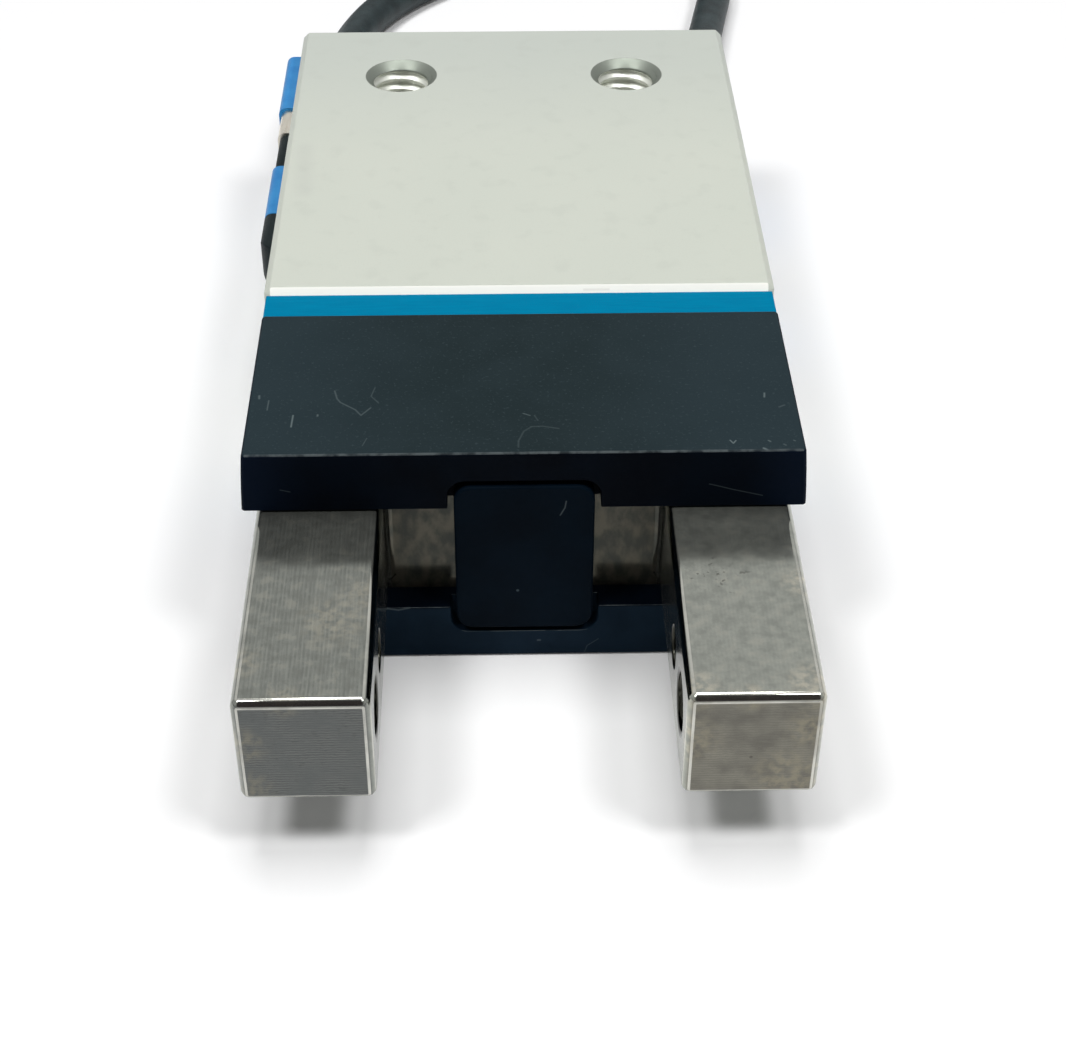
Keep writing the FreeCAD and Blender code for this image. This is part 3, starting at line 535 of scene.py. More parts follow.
def guide_black():
    """Blackened steel: a charcoal top painted lighter than the darker upright faces, as painted light and
    shade, a navy painted sheen towards the ends, a worn front edge and scratches.
    """
    f = Finish("guide_black", specular=0.03)
    cloud = f.noise(0.4, detail=4)
    grain = f.noise(6, detail=3)
    x, _, height = f.parts(f.place)
    # The top is painted lighter and the upright faces darker: painted light and shade.
    upward = f.times(f.band(f.facing(0, 0, 1), 0.55, 0.95), f.band(height, TOP_Z - 1.0, TOP_Z - 0.5))
    off_middle = f.band(f.math("ABSOLUTE", f.math("SUBTRACT", x, GUIDE_MIDDLE_X)), *GUIDE_TONE_X)
    top = f.mix(off_middle, shade(32, 43, 46), shade(39, 51, 56))
    top = f.mix(f.band(cloud, 0.35, 0.65, 0, 0.2), top, shade(44, 56, 61))
    top = f.mix(f.band(grain, 0.55, 0.75, 0, 0.5), top, shade(58, 70, 74))
    sides = f.mix(f.band(cloud, 0.3, 0.7), shade(0, 6, 14), shade(1, 10, 20))
    # Lighter navy towards the ends of the upright faces: a painted sheen.
    ends = f.band(f.math("ABSOLUTE", x), *GUIDE_ENDS_X, 0, 0.7)
    sides = f.mix(ends, sides, shade(6, 19, 36))
    low = f.band(height, LIP_TOP_Z, LIP_TOP_Z - 0.14)
    sides = f.mix(low, sides, f.mix(f.band(cloud, 0.3, 0.7), shade(13, 27, 39), shade(19, 34, 47)))
    tone = f.mix(upward, sides, top)
    edge = f.band(f.facing(0, -1, 1), 0.93, 0.99)
    worn = f.times(edge, f.band(f.noise(1.5, detail=4), 0.35, 0.6, 0.15, 0.65))
    tone = f.mix(worn, tone, shade(96, 104, 106))
    marks = f.scratches(TOP_SCRATCHES, lambda x, y: (x, y, TOP_Z))
    tone = f.mix(marks, tone, shade(98, 110, 112))
    marks = f.scratches(FRONT_SCRATCHES, lambda x, z: (x, GUIDE_FRONT_Y, z))
    f.paint(f.mix(marks, tone, shade(84, 94, 98)))
    f.rough(f.band(grain, 0.3, 0.7, 0.5, 0.62))
    f.relief(grain, 0.003)
    return f.material


def stop_black():
    """Black centre cover with a fine skin, one scratch and one pale speck."""
    f = Finish("stop_black", specular=0.03)
    cloud = f.noise(0.3, detail=4)
    skin = f.noise(9)
    tone = f.mix(f.band(cloud, 0.3, 0.7), shade(0, 11, 20), shade(3, 17, 28))
    marks = f.scratches(STOP_SCRATCHES, lambda x, z: (x, STOP_FRONT_Y, z))
    tone = f.mix(marks, tone, shade(110, 120, 124))
    f.paint(f.mix(f.spot(*STOP_SPECK), tone, shade(60, 72, 78)))
    f.rough(f.band(skin, 0.3, 0.7, 0.5, 0.6))
    f.relief(skin, 0.003)
    return f.material


def jaw_steel(side):
    """Ground steel: fine lines, front faces painted darker than the tops as painted shade, a front chamfer
    darkened as a painted reflection, bright rims of wear and painted highlight, pale stains, pits, a base
    darkened by streaky stains and painted shade, and holes darkened as painted shade.
    """
    f = Finish(side + "_jaw_steel", specular=0.3)
    left = side == "left"
    front = f.band(f.math("ABSOLUTE", f.facing(0, 1, 0)), 0.6, 0.9)
    squareness = f.most(*f.parts(f.vector("ABSOLUTE", f.normal)))
    flat = f.band(squareness, 0.94, 0.99)
    along = f.noise(1, stretch=(14, 0.5, 14), detail=3)
    across = f.noise(1, stretch=(1.2, 20, 20), detail=3)
    lines = f.blend(front, along, across)
    cloud = f.noise(0.55, detail=5)
    fine = f.noise(3.2, detail=5)
    x, y, z = f.parts(f.place)
    # The front faces get darker tones than the tops: painted shade.
    tone = f.mix(front, jaw_top(f, left, x, lines, cloud, fine), jaw_face(f, left, z, lines, fine))
    tone = jaw_stains(f, left, front, tone)
    tone = f.mix(f.times(jaw_pits(f, left), 0.65), tone, shade(76, 73, 68))
    # The front chamfer is painted dark: a painted dark reflection.
    chamfer = f.band(f.facing(0, -1, 1), 0.975, 0.995)
    tone = f.mix(f.times(chamfer, 0.75), tone, shade(92, 82, 80))
    # Bright rims along the softened edges of the free end: wear, and a painted highlight.
    rims = f.times(f.band(squareness, 0.99, 0.97), f.band(squareness, 0.82, 0.88))
    free_end = f.band(y, GUIDE_FRONT_Y - 1.0, GUIDE_FRONT_Y - 6.0)
    rims = f.times(rims, f.band(cloud, 0.3, 0.7, 0.3, 0.75), free_end)
    tone = f.mix(rims, tone, shade(230, 229, 220))
    # The base, which runs in the guide's slot, is painted dark and streaky: stains, and painted shade under
    # the lip.
    streaks = f.noise(1, stretch=(1.6, 1.6, 0.9), detail=6)
    base = f.band(f.math("ABSOLUTE", x), JAW_BASE_X, JAW_BASE_X - 0.3, 0, 0.95)
    tone = f.mix(base, tone, f.mix(f.band(streaks, 0.35, 0.65), shade(60, 62, 57), shade(92, 89, 78)))
    # The finger and pin holes are painted dark inside: painted shade.
    holes = f.most(
        f.hole(0, (0, FINGER_HOLE_Y, JAW_MID_Z), M3_MOUTH_RADIUS),
        f.hole(0, (0, PIN_HOLE_Y, JAW_MID_Z), PIN_MOUTH_RADIUS),
    )
    f.paint(f.mix(holes, tone, shade(56, 56, 50)))
    dusty = f.most(f.facing(0, 0, 1), f.facing(0, -1, 0), f.facing(0, -1, 1))
    f.metal(f.blend(base, f.band(dusty, 0.85, 0.95, 1.0, 0.84), 0.6))
    f.rough(f.blend(flat, 0.1, f.band(cloud, 0.3, 0.7, 0.14, 0.22)))
    sideways = f.band(f.math("ABSOLUTE", f.facing(1, 0, 0)), 0.3, 0.6, 1, 0)
    f.relief(f.times(lines, f.times(flat, sideways)), 0.003 if left else 0.0015)
    return f.material


def jaw_top(f, left, x, lines, cloud, fine):
    """Tones of a jaw's top: grinding ribs on the left jaw, a cloudy film on the right one."""
    pale = shade(156, 159, 152) if left else shade(174, 177, 168)
    dark = shade(142, 145, 139) if left else shade(164, 167, 159)
    film = shade(128, 130, 123) if left else shade(142, 145, 138)
    bloom = shade(176, 175, 163) if left else shade(188, 187, 175)
    tone = f.mix(f.band(lines if left else fine, 0.3, 0.7), dark, pale)
    ribs = f.times(f.ribs(x, 33.0, f.times(cloud, 4.0)), f.band(f.facing(0, 0, 1), 0.9, 0.98))
    ribs = f.times(ribs, f.band(fine, 0.3, 0.7, 0.1, 0.6 if left else 0.08))
    tone = f.mix(ribs, tone, shade(118, 121, 115))
    mottle = f.noise(1.7, detail=7)
    tone = f.mix(f.band(mottle, 0.45, 0.7, 0, 0.55), tone, film)
    return f.mix(f.band(mottle, 0.48, 0.3, 0, 0.4), tone, bloom)


def jaw_face(f, left, z, lines, fine):
    """Tones of a jaw's front face, darker than the top's as painted shade: fine level lines and soft
    blotches.
    """
    deep = shade(94, 97, 96) if left else shade(104, 102, 95)
    light = shade(106, 108, 106) if left else shade(130, 128, 118)
    groove = shade(68, 71, 71) if left else shade(92, 90, 83)
    streak = shade(118, 120, 116) if left else shade(138, 136, 126)
    speck = shade(78, 80, 79) if left else shade(96, 93, 86)
    blotch = f.noise(0.8, detail=7)
    tone = f.mix(f.band(blotch, 0.3, 0.7), deep, light)
    depth = f.band(blotch, 0.3, 0.7, 0.2, 0.7 if left else 0.45)
    tone = f.mix(f.times(f.ribs(z, 42.0, f.times(fine, 7.0)), depth), tone, groove)
    tone = f.mix(f.band(lines, 0.45, 0.75, 0, 0.3), tone, streak)
    return f.mix(f.band(fine, 0.55, 0.75, 0, 0.35), tone, speck)


def jaw_stains(f, left, front, tone):
    """Dried stains over a jaw's tones, browner on its front face."""
    places = LEFT_JAW_STAINS if left else RIGHT_JAW_STAINS
    stain = f.most(*[f.spot(centre, radius, 0.8) for centre, radius in places])
    stain = f.times(stain, f.band(f.noise(2.4, detail=6), 0.36, 0.66), 0.5 if left else 0.85)
    yellowed = shade(190, 185, 167) if left else shade(208, 203, 186)
    return f.mix(stain, tone, f.mix(front, yellowed, shade(138, 133, 116)))


def jaw_pits(f, left):
    """Where small pits lie on a jaw."""
    if left:
        return f.spot(*LEFT_JAW_PIT)
    field = f.spot(*RIGHT_PIT_FIELD, 0.8)
    pits = f.times(f.band(f.noise(3.5, detail=2), 0.64, 0.72), field)
    return f.most(pits, f.spot(*RIGHT_JAW_PIT))


# Turned metals: pale tone, dark tone and roughness
TURNED_LOOKS = {
    "inner_steel": (shade(178, 178, 174), shade(150, 150, 147), 0.32),
    "inner_aluminium": (shade(214, 214, 210), shade(188, 189, 187), 0.36),
    "spring_steel": (shade(160, 158, 152), shade(126, 125, 121), 0.3),
    "screw_steel": (shade(104, 104, 104), shade(74, 75, 77), 0.36),
    "bush_brass": (shade(206, 172, 98), shade(176, 142, 78), 0.34),
    "magnet": (shade(112, 112, 114), shade(86, 86, 90), 0.5),
    "nut_metal": (shade(206, 204, 198), shade(170, 169, 165), 0.3),
}

# Mouldings: pale tone, dark tone, roughness and gloss
MOULDED_LOOKS = {
    "seal_rubber": (shade(40, 40, 40), shade(28, 28, 29), 0.62, 0.3),
    "switch_black": (shade(33, 42, 43), shade(25, 33, 34), 0.5, 0.08),
    "switch_blue": (shade(52, 142, 206), shade(38, 128, 196), 0.4, 0.25),
    "lead_jacket": (shade(50, 61, 63), shade(37, 45, 47), 0.5, 0.25),
    "tie_plastic": (shade(44, 45, 46), shade(30, 31, 32), 0.42, 0.4),
    "plug_black": (shade(48, 50, 51), shade(33, 35, 36), 0.52, 0.4),
}


def turned_metal(name, pale, dark, roughness):
    """Turned or drawn metal with fine rings of tone."""
    f = Finish(name, metallic=1.0)
    rings = f.noise(3, stretch=(0.4, 6, 0.4), detail=3)
    f.paint(f.mix(f.band(rings, 0.3, 0.7), dark, pale))
    f.rough(f.band(rings, 0.3, 0.7, roughness - 0.06, roughness + 0.08))
    f.relief(rings, 0.003)
    return f.material


def moulded(name, pale, dark, roughness, gloss):
    """Moulded plastic or rubber with a soft uneven skin."""
    f = Finish(name, specular=gloss)
    cloud = f.noise(0.8, detail=3)
    skin = f.noise(10, detail=2)
    f.paint(f.mix(f.band(cloud, 0.3, 0.7), dark, pale))
    f.rough(f.band(skin, 0.3, 0.7, roughness - 0.06, roughness + 0.06))
    f.relief(skin, 0.004)
    return f.material


def clamp_metal():
    """Bright nickel of the switch clamps."""
    f = Finish("clamp_metal", metallic=1.0)
    brushed = f.noise(5, stretch=(1, 0.15, 1), detail=3)
    f.paint(f.mix(brushed, shade(222, 214, 196), shade(250, 246, 234)))
    f.rough(f.band(brushed, 0.3, 0.7, 0.26, 0.38))
    f.relief(brushed, 0.003)
    return f.material


def plug_insert(side):
    """Black carrier of a plug with gilt pins."""
    f = Finish(side + "_plug_insert", specular=0.4)
    start, run = plug_axis(side)
    along = f.vector("DOT_PRODUCT", f.vector("SUBTRACT", f.place, start), run)
    pins = f.band(along, PINS_START + 0.02, PINS_START + 0.08)
    cloud = f.noise(2, detail=3)
    carrier = f.mix(cloud, shade(24, 26, 28), shade(38, 40, 42))
    f.paint(f.mix(pins, carrier, shade(214, 176, 96)))
    f.metal(pins)
    f.rough(f.blend(pins, f.band(cloud, 0.3, 0.7, 0.46, 0.58), 0.24))
    return f.material


def plug_axis(side):
    """Where a plug starts and the way it points, from the end of its lead's route."""
    before, end = (Vector(p) for p in END_ROUTES[side][-2:])
    return end, (end - before).normalized()


def make_finishes():
    """The materials of the record's slots, apart from the jaws and the plug inserts."""
    return {
        "housing_metal": housing_metal(),
        "blue_plate": blue_plate(),
        "guide_black": guide_black(),
        "stop_black": stop_black(),
        "clamp_metal": clamp_metal(),
        **{name: turned_metal(name, *look) for name, look in TURNED_LOOKS.items()},
        **{name: moulded(name, *look) for name, look in MOULDED_LOOKS.items()},
    }


def dress_solids(finishes):
    """Each solid takes the finish of its slot."""
    for subpart in frame["record"]["subparts"]:
        node = subpart["node"]
        finish = finishes.get(subpart["material_slot"])
        if node.endswith("_plug_insert"):
            finish = plug_insert(node.split("_")[0])
        if finish:
            for place in nodes[node].material_slots:
                place.material = finish


def add_piece(name, mesh, body, slot, finish, *stands_for):
    """A mesh as a piece that rides on a body and stands for solids."""
    piece = bpy.data.objects.new(name, mesh)
    scene.collection.objects.link(piece)
    mesh.materials.clear()
    mesh.materials.append(finish)
    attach(piece, body)
    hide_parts(*stands_for)
    return piece


def evaluated_mesh(shape):
    """The mesh of an object with its modifiers applied; the object goes."""
    mesh = bpy.data.meshes.new_from_object(shape.evaluated_get(bpy.context.evaluated_depsgraph_get()))
    bpy.data.objects.remove(shape)
    return mesh


def thread_cutter(start, along, length, core_radius, pitch, depth):
    """A closed screw shape that cuts a thread into the wall of a plain hole."""
    around = 40
    rings_per_turn = 10
    clear = 0.03
    steepness = 1.2
    rings = round(length / pitch * rings_per_turn)
    turn = Vector((0, 0, 1)).rotation_difference(Vector(along)).to_matrix()
    work = bmesh.new()
    grid = []
    for ring in range(rings + 1):
        height = length * ring / rings
        row = []
        for step in range(around):
            share = (height / pitch - step / around) % 1.0
            groove = max(0.0, 1.0 - steepness * abs(2 * share - 1))
            radius = core_radius - clear + (depth + clear) * groove
            angle = 2 * math.pi * step / around
            point = Vector((radius * math.cos(angle), radius * math.sin(angle), height))
            row.append(work.verts.new((Vector(start) + turn @ point) * MM))
        grid.append(row)
    for low, high in zip(grid, grid[1:]):
        for step in range(around):
            after = (step + 1) % around
            work.faces.new((low[step], low[after], high[after], high[step]))
    work.faces.new(reversed(grid[0]))
    work.faces.new(grid[-1])
    bmesh.ops.triangulate(work, faces=work.faces)
    mesh = bpy.data.meshes.new("thread_cutter")
    work.to_mesh(mesh)
    work.free()
    cutter = bpy.data.objects.new("thread_cutter", mesh)
    scene.collection.objects.link(cutter)
    return cutter


def softened_copy(node, edge, threads=(), reshape=Vector):
    """A copy of a solid's mesh, reshaped, with softened edges and with threads cut into its holes."""
    source = nodes[node].data
    mesh = bpy.data.meshes.new(node + "_copy")
    points = [reshape(v.co) for v in source.vertices]
    mesh.from_pydata(points, [], [list(p.vertices) for p in source.polygons])
    work = bmesh.new()
    work.from_mesh(mesh)
    bmesh.ops.remove_doubles(work, verts=work.verts, dist=WELD_DISTANCE * MM)
    flat = math.radians(FLAT_ANGLE)
    bmesh.ops.dissolve_limit(work, angle_limit=flat, verts=work.verts, edges=work.edges)
    work.to_mesh(mesh)
    work.free()
    shape = bpy.data.objects.new(node + "_shape", mesh)
    scene.collection.objects.link(shape)
    soften = shape.modifiers.new("soft_edges", "BEVEL")
    soften.width = edge * MM
    soften.segments = 3
    soften.limit_method = "ANGLE"
    soften.angle_limit = math.radians(BEVEL_ANGLE)
    soften.use_clamp_overlap = False
    cutters = [thread_cutter(*thread) for thread in threads]
    for cutter in cutters:
        cut = shape.modifiers.new("thread", "BOOLEAN")
        cut.operation = "DIFFERENCE"
        cut.solver = "EXACT"
        cut.object = cutter
    mesh = evaluated_mesh(shape)
    for cutter in cutters:
        bpy.data.objects.remove(cutter)
    mesh.shade_smooth()
    mesh.set_sharp_from_angle(angle=math.radians(SHARP_ANGLE))
    shape = bpy.data.objects.new(node + "_shape", mesh)
    scene.collection.objects.link(shape)
    even = shape.modifiers.new("flat_faces", "WEIGHTED_NORMAL")
    even.keep_sharp = True
    return evaluated_mesh(shape)


def make_case(finishes):
    """The housing with threads in its mounting holes, rear holes and ports."""
    threads = []
    for x in (-MOUNT_HOLE_X, MOUNT_HOLE_X):
        threads.append(((x, 0, MOUNT_THREAD_START_Z), (0, 0, 1), MOUNT_THREAD_LENGTH, *M4_THREAD))
    for x in (-REAR_HOLE_X, REAR_HOLE_X):
        start = (x, REAR_THREAD_START_Y, REAR_HOLE_Z)
        threads.append((start, (0, -1, 0), REAR_THREAD_LENGTH, *M3_THREAD))
    for y in PORT_Y:
        threads.append(((PORT_THREAD_START_X, y, PORT_Z), (-1, 0, 0), PORT_THREAD_LENGTH, *M3_THREAD))
    mesh = softened_copy("housing", CASE_EDGE, threads)
    add_piece("housing_case", mesh, "body", "housing_metal", finishes["housing_metal"], "housing")


def make_front(finishes):
    """Spacer plate, guide block and centre stop with softened edges."""
    for node, slot, edge in (
        ("spacer_plate", "blue_plate", SPACER_EDGE),
        ("guide_block", "guide_black", GUIDE_EDGE),
        ("centre_stop", "stop_black", STOP_EDGE),
    ):
        add_piece(node + "_soft", softened_copy(node, edge), "body", slot, finishes[slot], node)


def arc_start(depth, radius):
    """How far behind the tip of a round nose its side lies at some depth below its outer face."""
    return radius - math.sqrt(radius ** 2 - (radius - min(depth, radius)) ** 2)


def fuller_nose(place):
    """A point of a switch body, moved forward where the solid's nose is rounder than the photograph's."""
    side_margin = 0.02
    tip_margin = 0.05
    x, y, z = place / MM
    depth = NOSE_REACH - abs(x)
    behind = y - NOSE_TIP_Y
    solid_start = arc_start(max(0.0, depth), NOSE_SOLID_RADIUS)
    in_nose = depth < NOSE_DEPTH + side_margin and solid_start - tip_margin < behind < NOSE_LENGTH
    if not in_nose:
        return place.copy()
    start = NOSE_SET_BACK + arc_start(max(0.0, depth), NOSE_RADIUS)
    stretch = (NOSE_LENGTH - start) / (NOSE_LENGTH - solid_start)
    return Vector((x, NOSE_TIP_Y + NOSE_LENGTH - (NOSE_LENGTH - behind) * stretch, z)) * MM


def make_switches(finishes):
    """The black mouldings of both switches, with fuller noses than their solids."""
    for side in ("left", "right"):
        node = side + "_switch_body"
        mesh = softened_copy(node, SWITCH_EDGE, reshape=fuller_nose)
        add_piece(node + "_soft", mesh, "body", "switch_black", finishes["switch_black"], node)


def make_spring(finishes):
    """The return spring, as a piece on the body with its own copy of the solid's mesh."""
    mesh = nodes["return_spring"].data.copy()
    slot = "spring_steel"
    spring = add_piece("return_spring_coil", mesh, "body", slot, finishes[slot], "return_spring")
    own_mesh(spring)


def make_jaws():
    """Both jaws with softened chamfers and threaded finger holes."""
    for side, outward in (("left", -1), ("right", 1)):
        start = (outward * FINGER_THREAD_START_X, FINGER_HOLE_Y, JAW_MID_Z)
        thread = (start, (-outward, 0, 0), FINGER_THREAD_LENGTH, *M3_THREAD)
        mesh = softened_copy(side + "_jaw", JAW_EDGE, [thread])
        add_piece(side + "_jaw_block", mesh, side + "_jaw", "jaw_steel", jaw_steel(side), side + "_jaw")


def make_nut(side, finish):
    """A plug's knurled nut: an outline of radius, height and ridges, turned about the plug's axis."""
    steps = NUT_RIDGES * 4
    start, run = plug_axis(side)
    turn = Vector((0, 1, 0)).rotation_difference(run).to_matrix()
    outline = [
        (NUT_BORE_RADIUS + NUT_REAR_EDGE, 0.0, 0),
        (NUT_RADIUS - NUT_EDGE, 0.0, 0),
        (NUT_RADIUS, NUT_EDGE, 0),
        (NUT_RADIUS, NUT_COLLAR, 0),
        (NUT_RADIUS - NUT_GROOVE_DEPTH, NUT_GROOVE_START, 0),
        (NUT_RADIUS - NUT_GROOVE_DEPTH, NUT_GROOVE_END, 0),
        (NUT_RADIUS, NUT_RIDGES_START, 1),
        (NUT_RADIUS, NUT_LENGTH - 2 * NUT_EDGE, 1),
        (NUT_RADIUS - NUT_END_STEPS[0], NUT_LENGTH - NUT_EDGE, 0),
        (NUT_RADIUS - NUT_END_STEPS[1], NUT_LENGTH, 0),
        (NUT_BORE_RADIUS + NUT_FRONT_EDGE, NUT_LENGTH, 0),
        (NUT_BORE_RADIUS, NUT_LENGTH - NUT_FRONT_EDGE, 0),
        (NUT_BORE_RADIUS, NUT_REAR_EDGE, 0),
    ]
    work = bmesh.new()
    rows = []
    for step in range(steps):
        angle = 2 * math.pi * step / steps
        row = []
        for radius, height, ridged in outline:
            reach = radius - (NUT_RIDGE_DEPTH * ridged if step % 4 in (0, 1) else 0)
            point = Vector((reach * math.cos(angle), GRIP_END + height, reach * math.sin(angle)))
            row.append(work.verts.new((start + turn @ point) * MM))
        rows.append(row)
    for row, after in zip(rows, rows[1:] + rows[:1]):
        for k in range(len(outline)):
            n = (k + 1) % len(outline)
            work.faces.new((row[k], row[n], after[n], after[k]))
    bmesh.ops.recalc_face_normals(work, faces=work.faces)
    mesh = bpy.data.meshes.new(side + "_nut")
    work.to_mesh(mesh)
    work.free()
    mesh.shade_smooth()
    mesh.set_sharp_from_angle(angle=math.radians(NUT_SHARP_ANGLE))
    return add_piece(side + "_knurled_nut", mesh, "body", "nut_metal", finish, side + "_plug_nut")


def rounded_loop(x0, x1, z0, z1, radius, step):
    """Points and outward directions round a rectangle with round corners, in the plane across Y."""
    corner_steps = 6
    points = []
    for cx, cz, first in ((x1, z1, 0), (x0, z1, 90), (x0, z0, 180), (x1, z0, 270)):
        mx = cx - math.copysign(radius, cx - (x0 + x1) / 2)
        mz = cz - math.copysign(radius, cz - (z0 + z1) / 2)
        for k in range(corner_steps + 1):
            angle = math.radians(first + 90 * k / corner_steps)
            out = Vector((math.cos(angle), 0, math.sin(angle)))
            points.append((Vector((mx, 0, mz)) + out * radius, out))
    dense = []
    for (a, out_a), (b, out_b) in zip(points, points[1:] + points[:1]):
        count = max(1, round((b - a).length / step))
        for k in range(count):
            share = k / count
            dense.append((a.lerp(b, share), out_a.lerp(out_b, share).normalized()))
    return dense


def make_tie(finish):
    """A ribbed cable tie round the coil, with its head and its cut tail on top."""
    low, high = (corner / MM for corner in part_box("coil_tie"))
    loop = rounded_loop(low.x, high.x, low.z, TIE_TOP, TIE_CORNER, TIE_RIB_STEP)
    y0, y1 = low.y, high.y
    work = bmesh.new()
    rows = []
    for k, (point, out) in enumerate(loop):
        groove = TIE_RIB_DEPTH if k % 2 else 0.0
        outer = point - out * groove
        inner = point - out * TIE_THICKNESS
        ribbed = [(outer, y0 + TIE_BORDER), (outer, y1 - TIE_BORDER)]
        plain = [(point, y1), (inner, y1), (inner, y0), (point, y0)]
        rows.append([work.verts.new(Vector((p.x, y, p.z)) * MM) for p, y in ribbed + plain])
    for row, after in zip(rows, rows[1:] + rows[:1]):
        for n in range(len(row)):
            m = (n + 1) % len(row)
            work.faces.new((row[n], after[n], after[m], row[m]))
    middle = Vector(((low.x + high.x) / 2, (y0 + y1) / 2, TIE_TOP))
    for size, shift in ((TIE_HEAD_SIZE, TIE_HEAD_SHIFT), (TIE_TAIL_SIZE, TIE_TAIL_SHIFT)):
        made = bmesh.ops.create_cube(work, size=1.0)["verts"]
        bmesh.ops.scale(work, vec=Vector(size) * MM, verts=made)
        bmesh.ops.translate(work, vec=(middle + Vector(shift)) * MM, verts=made)
        rims = list({edge for vert in made for edge in vert.link_edges})
        bmesh.ops.bevel(work, geom=rims, offset=TIE_EDGE * MM, segments=2, profile=0.5, affect="EDGES")
    bmesh.ops.recalc_face_normals(work, faces=work.faces)
    mesh = bpy.data.meshes.new("coil_tie_strap")
    work.to_mesh(mesh)
    work.free()
    mesh.shade_smooth()
    mesh.set_sharp_from_angle(angle=math.radians(TIE_SHARP_ANGLE))
    return add_piece("coil_tie_strap", mesh, "body", "tie_plastic", finish, "coil_tie")


def coil_turns(radius, heights):
    """Points of a lead's turns in the coil, from the first to the last of its (angle, height) steps."""
    start = heights[0][0]
    end = heights[-1][0]
    count = round((end - start) / 360 * COIL_POINTS_PER_TURN)
    half_step = math.radians((end - start) / count / 2)
    points = []
    for k in range(count + 1):
        angle = start + (end - start) * k / count
        turn = math.radians(angle)
        reach = radius / math.cos(half_step)
        x = COIL_CENTRE[0] + reach * math.cos(turn)
        y = COIL_CENTRE[1] + reach * math.sin(turn)
        points.append((x, y, height_at(angle, heights)))
    return points


def height_at(angle, heights):
    """The height between the two listed angles around this one, with soft steps."""
    for (a0, z0), (a1, z1) in zip(heights, heights[1:]):
        if angle <= a1:
            share = max(0.0, (angle - a0) / (a1 - a0))
            return z0 + (z1 - z0) * share * share * (3 - 2 * share)
    return heights[-1][1]


def lead(name, points, finish):
    """A lead as one smooth curve through its route and its turns."""
    data = bpy.data.curves.new(name, "CURVE")
    data.dimensions = "3D"
    data.bevel_depth = LEAD_DIAMETER * MM / 2
    data.bevel_resolution = 8
    data.use_fill_caps = True
    spline = data.splines.new("NURBS")
    spline.points.add(len(points) - 1)
    for point, place in zip(spline.points, points):
        point.co = (*(Vector(place) * MM), 1)
    spline.order_u = 3
    spline.use_endpoint_u = True
    spline.resolution_u = 8
    data.materials.append(finish)
    piece = bpy.data.objects.new(name, data)
    scene.collection.objects.link(piece)
    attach(piece, "body")
    return piece


def make_leads(finishes):
    """Both leads, wound into one coil, with their plugs and the tie."""
    left_turns = coil_turns(LEFT_COIL_RADIUS, LEFT_COIL_STEPS)
    right_turns = coil_turns(RIGHT_COIL_RADIUS, RIGHT_COIL_STEPS)
    jacket = finishes["lead_jacket"]
    left = lead("left_lead_line", LEFT_LEAD_ROUTE + left_turns + LEFT_END_ROUTE, jacket)
    right = lead("right_lead_line", RIGHT_LEAD_ROUTE + right_turns + RIGHT_END_ROUTE, jacket)
    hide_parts("left_lead", "left_lead_end", "lead_coil")
    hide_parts("right_lead", "right_lead_end")
    on_left = plug_pieces("left", finishes) + [make_tie(finishes["tie_plastic"])]
    plug_pieces("right", finishes)


def plug_pieces(side, finishes):
    """The pieces of one plug: its knurled nut, and the grip and insert of the solids."""
    return [make_nut(side, finishes["nut_metal"]), nodes[side + "_plug_grip"], nodes[side + "_plug_insert"]]


def make_camera():
    """A camera at the photograph's place and angle."""
    data = bpy.data.cameras.new("camera")
    data.sensor_width = SENSOR_WIDTH
    data.lens = FOCAL_PIXELS * SENSOR_WIDTH / PHOTO_WIDTH
    data.clip_start = 0.001
    camera = bpy.data.objects.new("camera", data)
    turn = Matrix.Rotation(math.radians(CAMERA_YAW), 4, "Z")
    tilt = Matrix.Rotation(math.radians(90 - CAMERA_DOWN), 4, "X")
    roll = Matrix.Rotation(math.radians(CAMERA_ROLL), 4, "Z")
    camera.matrix_world = Matrix.Translation(Vector(CAMERA_PLACE) * MM) @ turn @ tilt @ roll
    scene.collection.objects.link(camera)
    scene.camera = camera


def make_floor():
    """A plain white floor under the object, which stays pale where the lamps no longer reach."""
    mesh = bpy.data.meshes.new("floor")
    half = FLOOR_HALF
    level = FLOOR_LEVEL * MM
    corners = [(-half, -half, level), (half, -half, level), (half, half, level), (-half, half, level)]
    mesh.from_pydata(corners, [], [(0, 1, 2, 3)])
    floor = bpy.data.objects.new("floor", mesh)
    scene.collection.objects.link(floor)
    paper = Finish("floor_white", color=(0.97, 0.97, 0.975, 1), roughness=0.9, specular=0.1)
    seen = paper.tree.nodes.new("ShaderNodeLightPath").outputs["Is Camera Ray"]
    paper.shader.inputs["Emission Color"].default_value = (1, 1, 1, 1)
    glow = paper.band(paper.vector("LENGTH", paper.place), PALE_FROM, PALE_TO, 0.05, 0.8)
    paper.feed(paper.shader.inputs["Emission Strength"], paper.times(seen, glow))
    mesh.materials.append(paper.material)


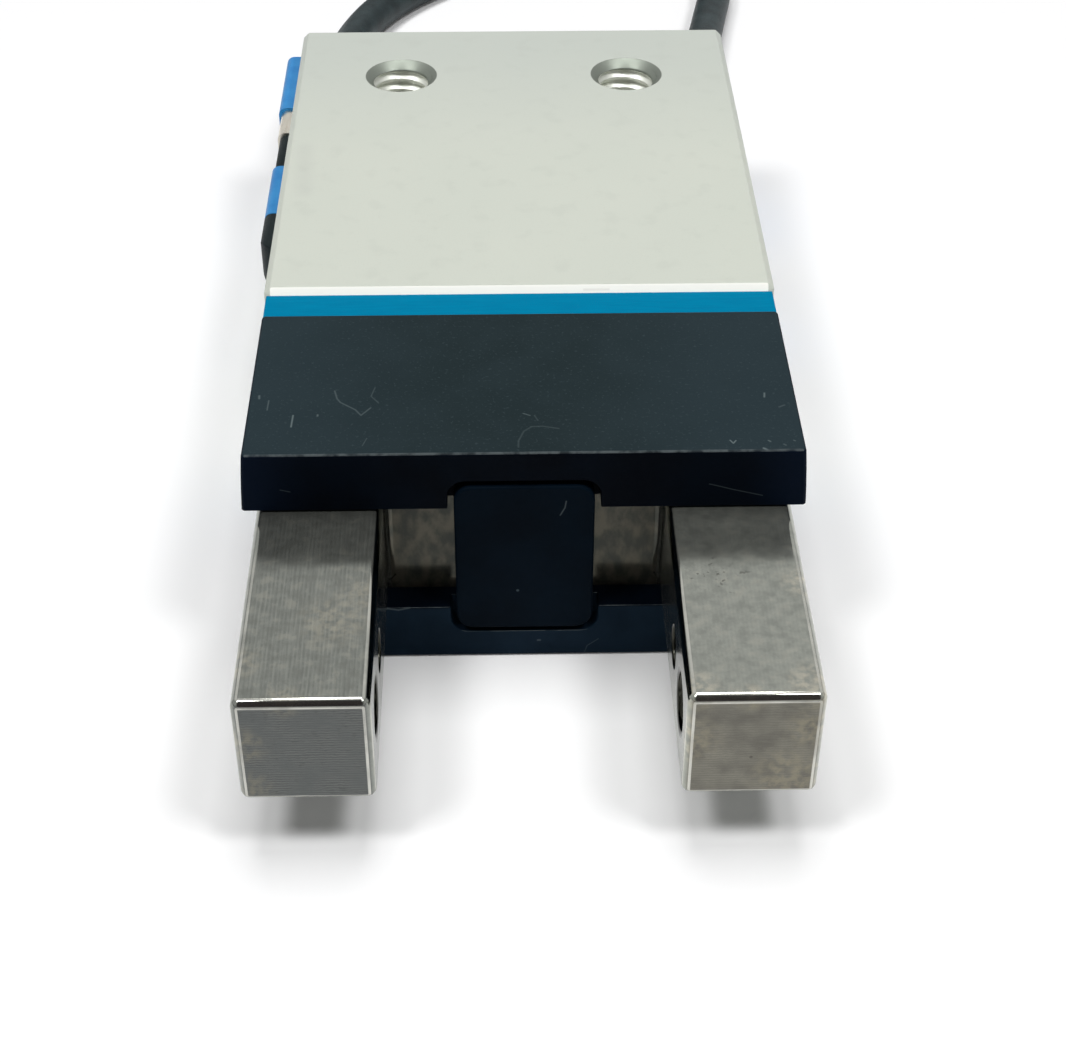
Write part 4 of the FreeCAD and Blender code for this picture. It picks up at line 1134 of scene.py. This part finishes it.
def make_world():
    """Soft room light: little fill on the object, and a pale room, dark around the camera, in its gloss."""
    fill = 0.09
    room = 0.62
    shaded = 0.03
    shaded_outer = math.radians(40)
    shaded_inner = math.radians(24)
    world = bpy.data.worlds.new("studio")
    world.use_nodes = True
    tree = world.node_tree
    background = tree.nodes["Background"]
    way = tree.nodes.new("ShaderNodeTexCoord").outputs["Generated"]
    toward = tree.nodes.new("ShaderNodeVectorMath")
    toward.operation = "DOT_PRODUCT"
    tree.links.new(way, toward.inputs[0])
    toward.inputs[1].default_value = Vector((0, -1, 1)).normalized()
    gloss = tree.nodes.new("ShaderNodeMapRange")
    gloss.interpolation_type = "SMOOTHSTEP"
    tree.links.new(toward.outputs["Value"], gloss.inputs[0])
    gloss.inputs[1].default_value = math.cos(shaded_outer)
    gloss.inputs[2].default_value = math.cos(shaded_inner)
    gloss.inputs[3].default_value = room
    gloss.inputs[4].default_value = shaded
    ray = tree.nodes.new("ShaderNodeLightPath").outputs
    seen = ray["Is Camera Ray"]
    for kind in ("Is Glossy Ray", "Is Transmission Ray"):
        either = tree.nodes.new("ShaderNodeMath")
        either.operation = "MAXIMUM"
        tree.links.new(seen, either.inputs[0])
        tree.links.new(ray[kind], either.inputs[1])
        seen = either.outputs[0]
    strength = tree.nodes.new("ShaderNodeMix")
    tree.links.new(seen, strength.inputs[0])
    strength.inputs[2].default_value = fill
    tree.links.new(gloss.outputs[0], strength.inputs[3])
    background.inputs["Color"].default_value = (1, 1, 1, 1)
    tree.links.new(strength.outputs[0], background.inputs["Strength"])
    scene.world = world


def make_lamps():
    """Soft lamps: one overhead, a little behind the object, and one each side of the camera."""
    for name, place, size, energy in (
        ("overhead", (0.0, 0.04, 0.5), 0.2, 0.995),
        ("left_front", (-0.2, -0.17, 0.46), 0.12, 0.905),
        ("right_front", (0.2, -0.17, 0.46), 0.12, 0.905),
    ):
        data = bpy.data.lights.new(name, "AREA")
        data.shape = "SQUARE"
        data.size = size
        data.energy = energy
        lamp = bpy.data.objects.new(name, data)
        lamp.location = place
        lamp.rotation_euler = Vector(place).to_track_quat("Z", "Y").to_euler()
        scene.collection.objects.link(lamp)


scene.view_settings.view_transform = "Standard"
make_camera()
make_world()
make_lamps()
make_floor()
finishes = make_finishes()
dress_solids(finishes)
make_case(finishes)
make_front(finishes)
make_switches(finishes)
make_spring(finishes)
make_jaws()
make_leads(finishes)
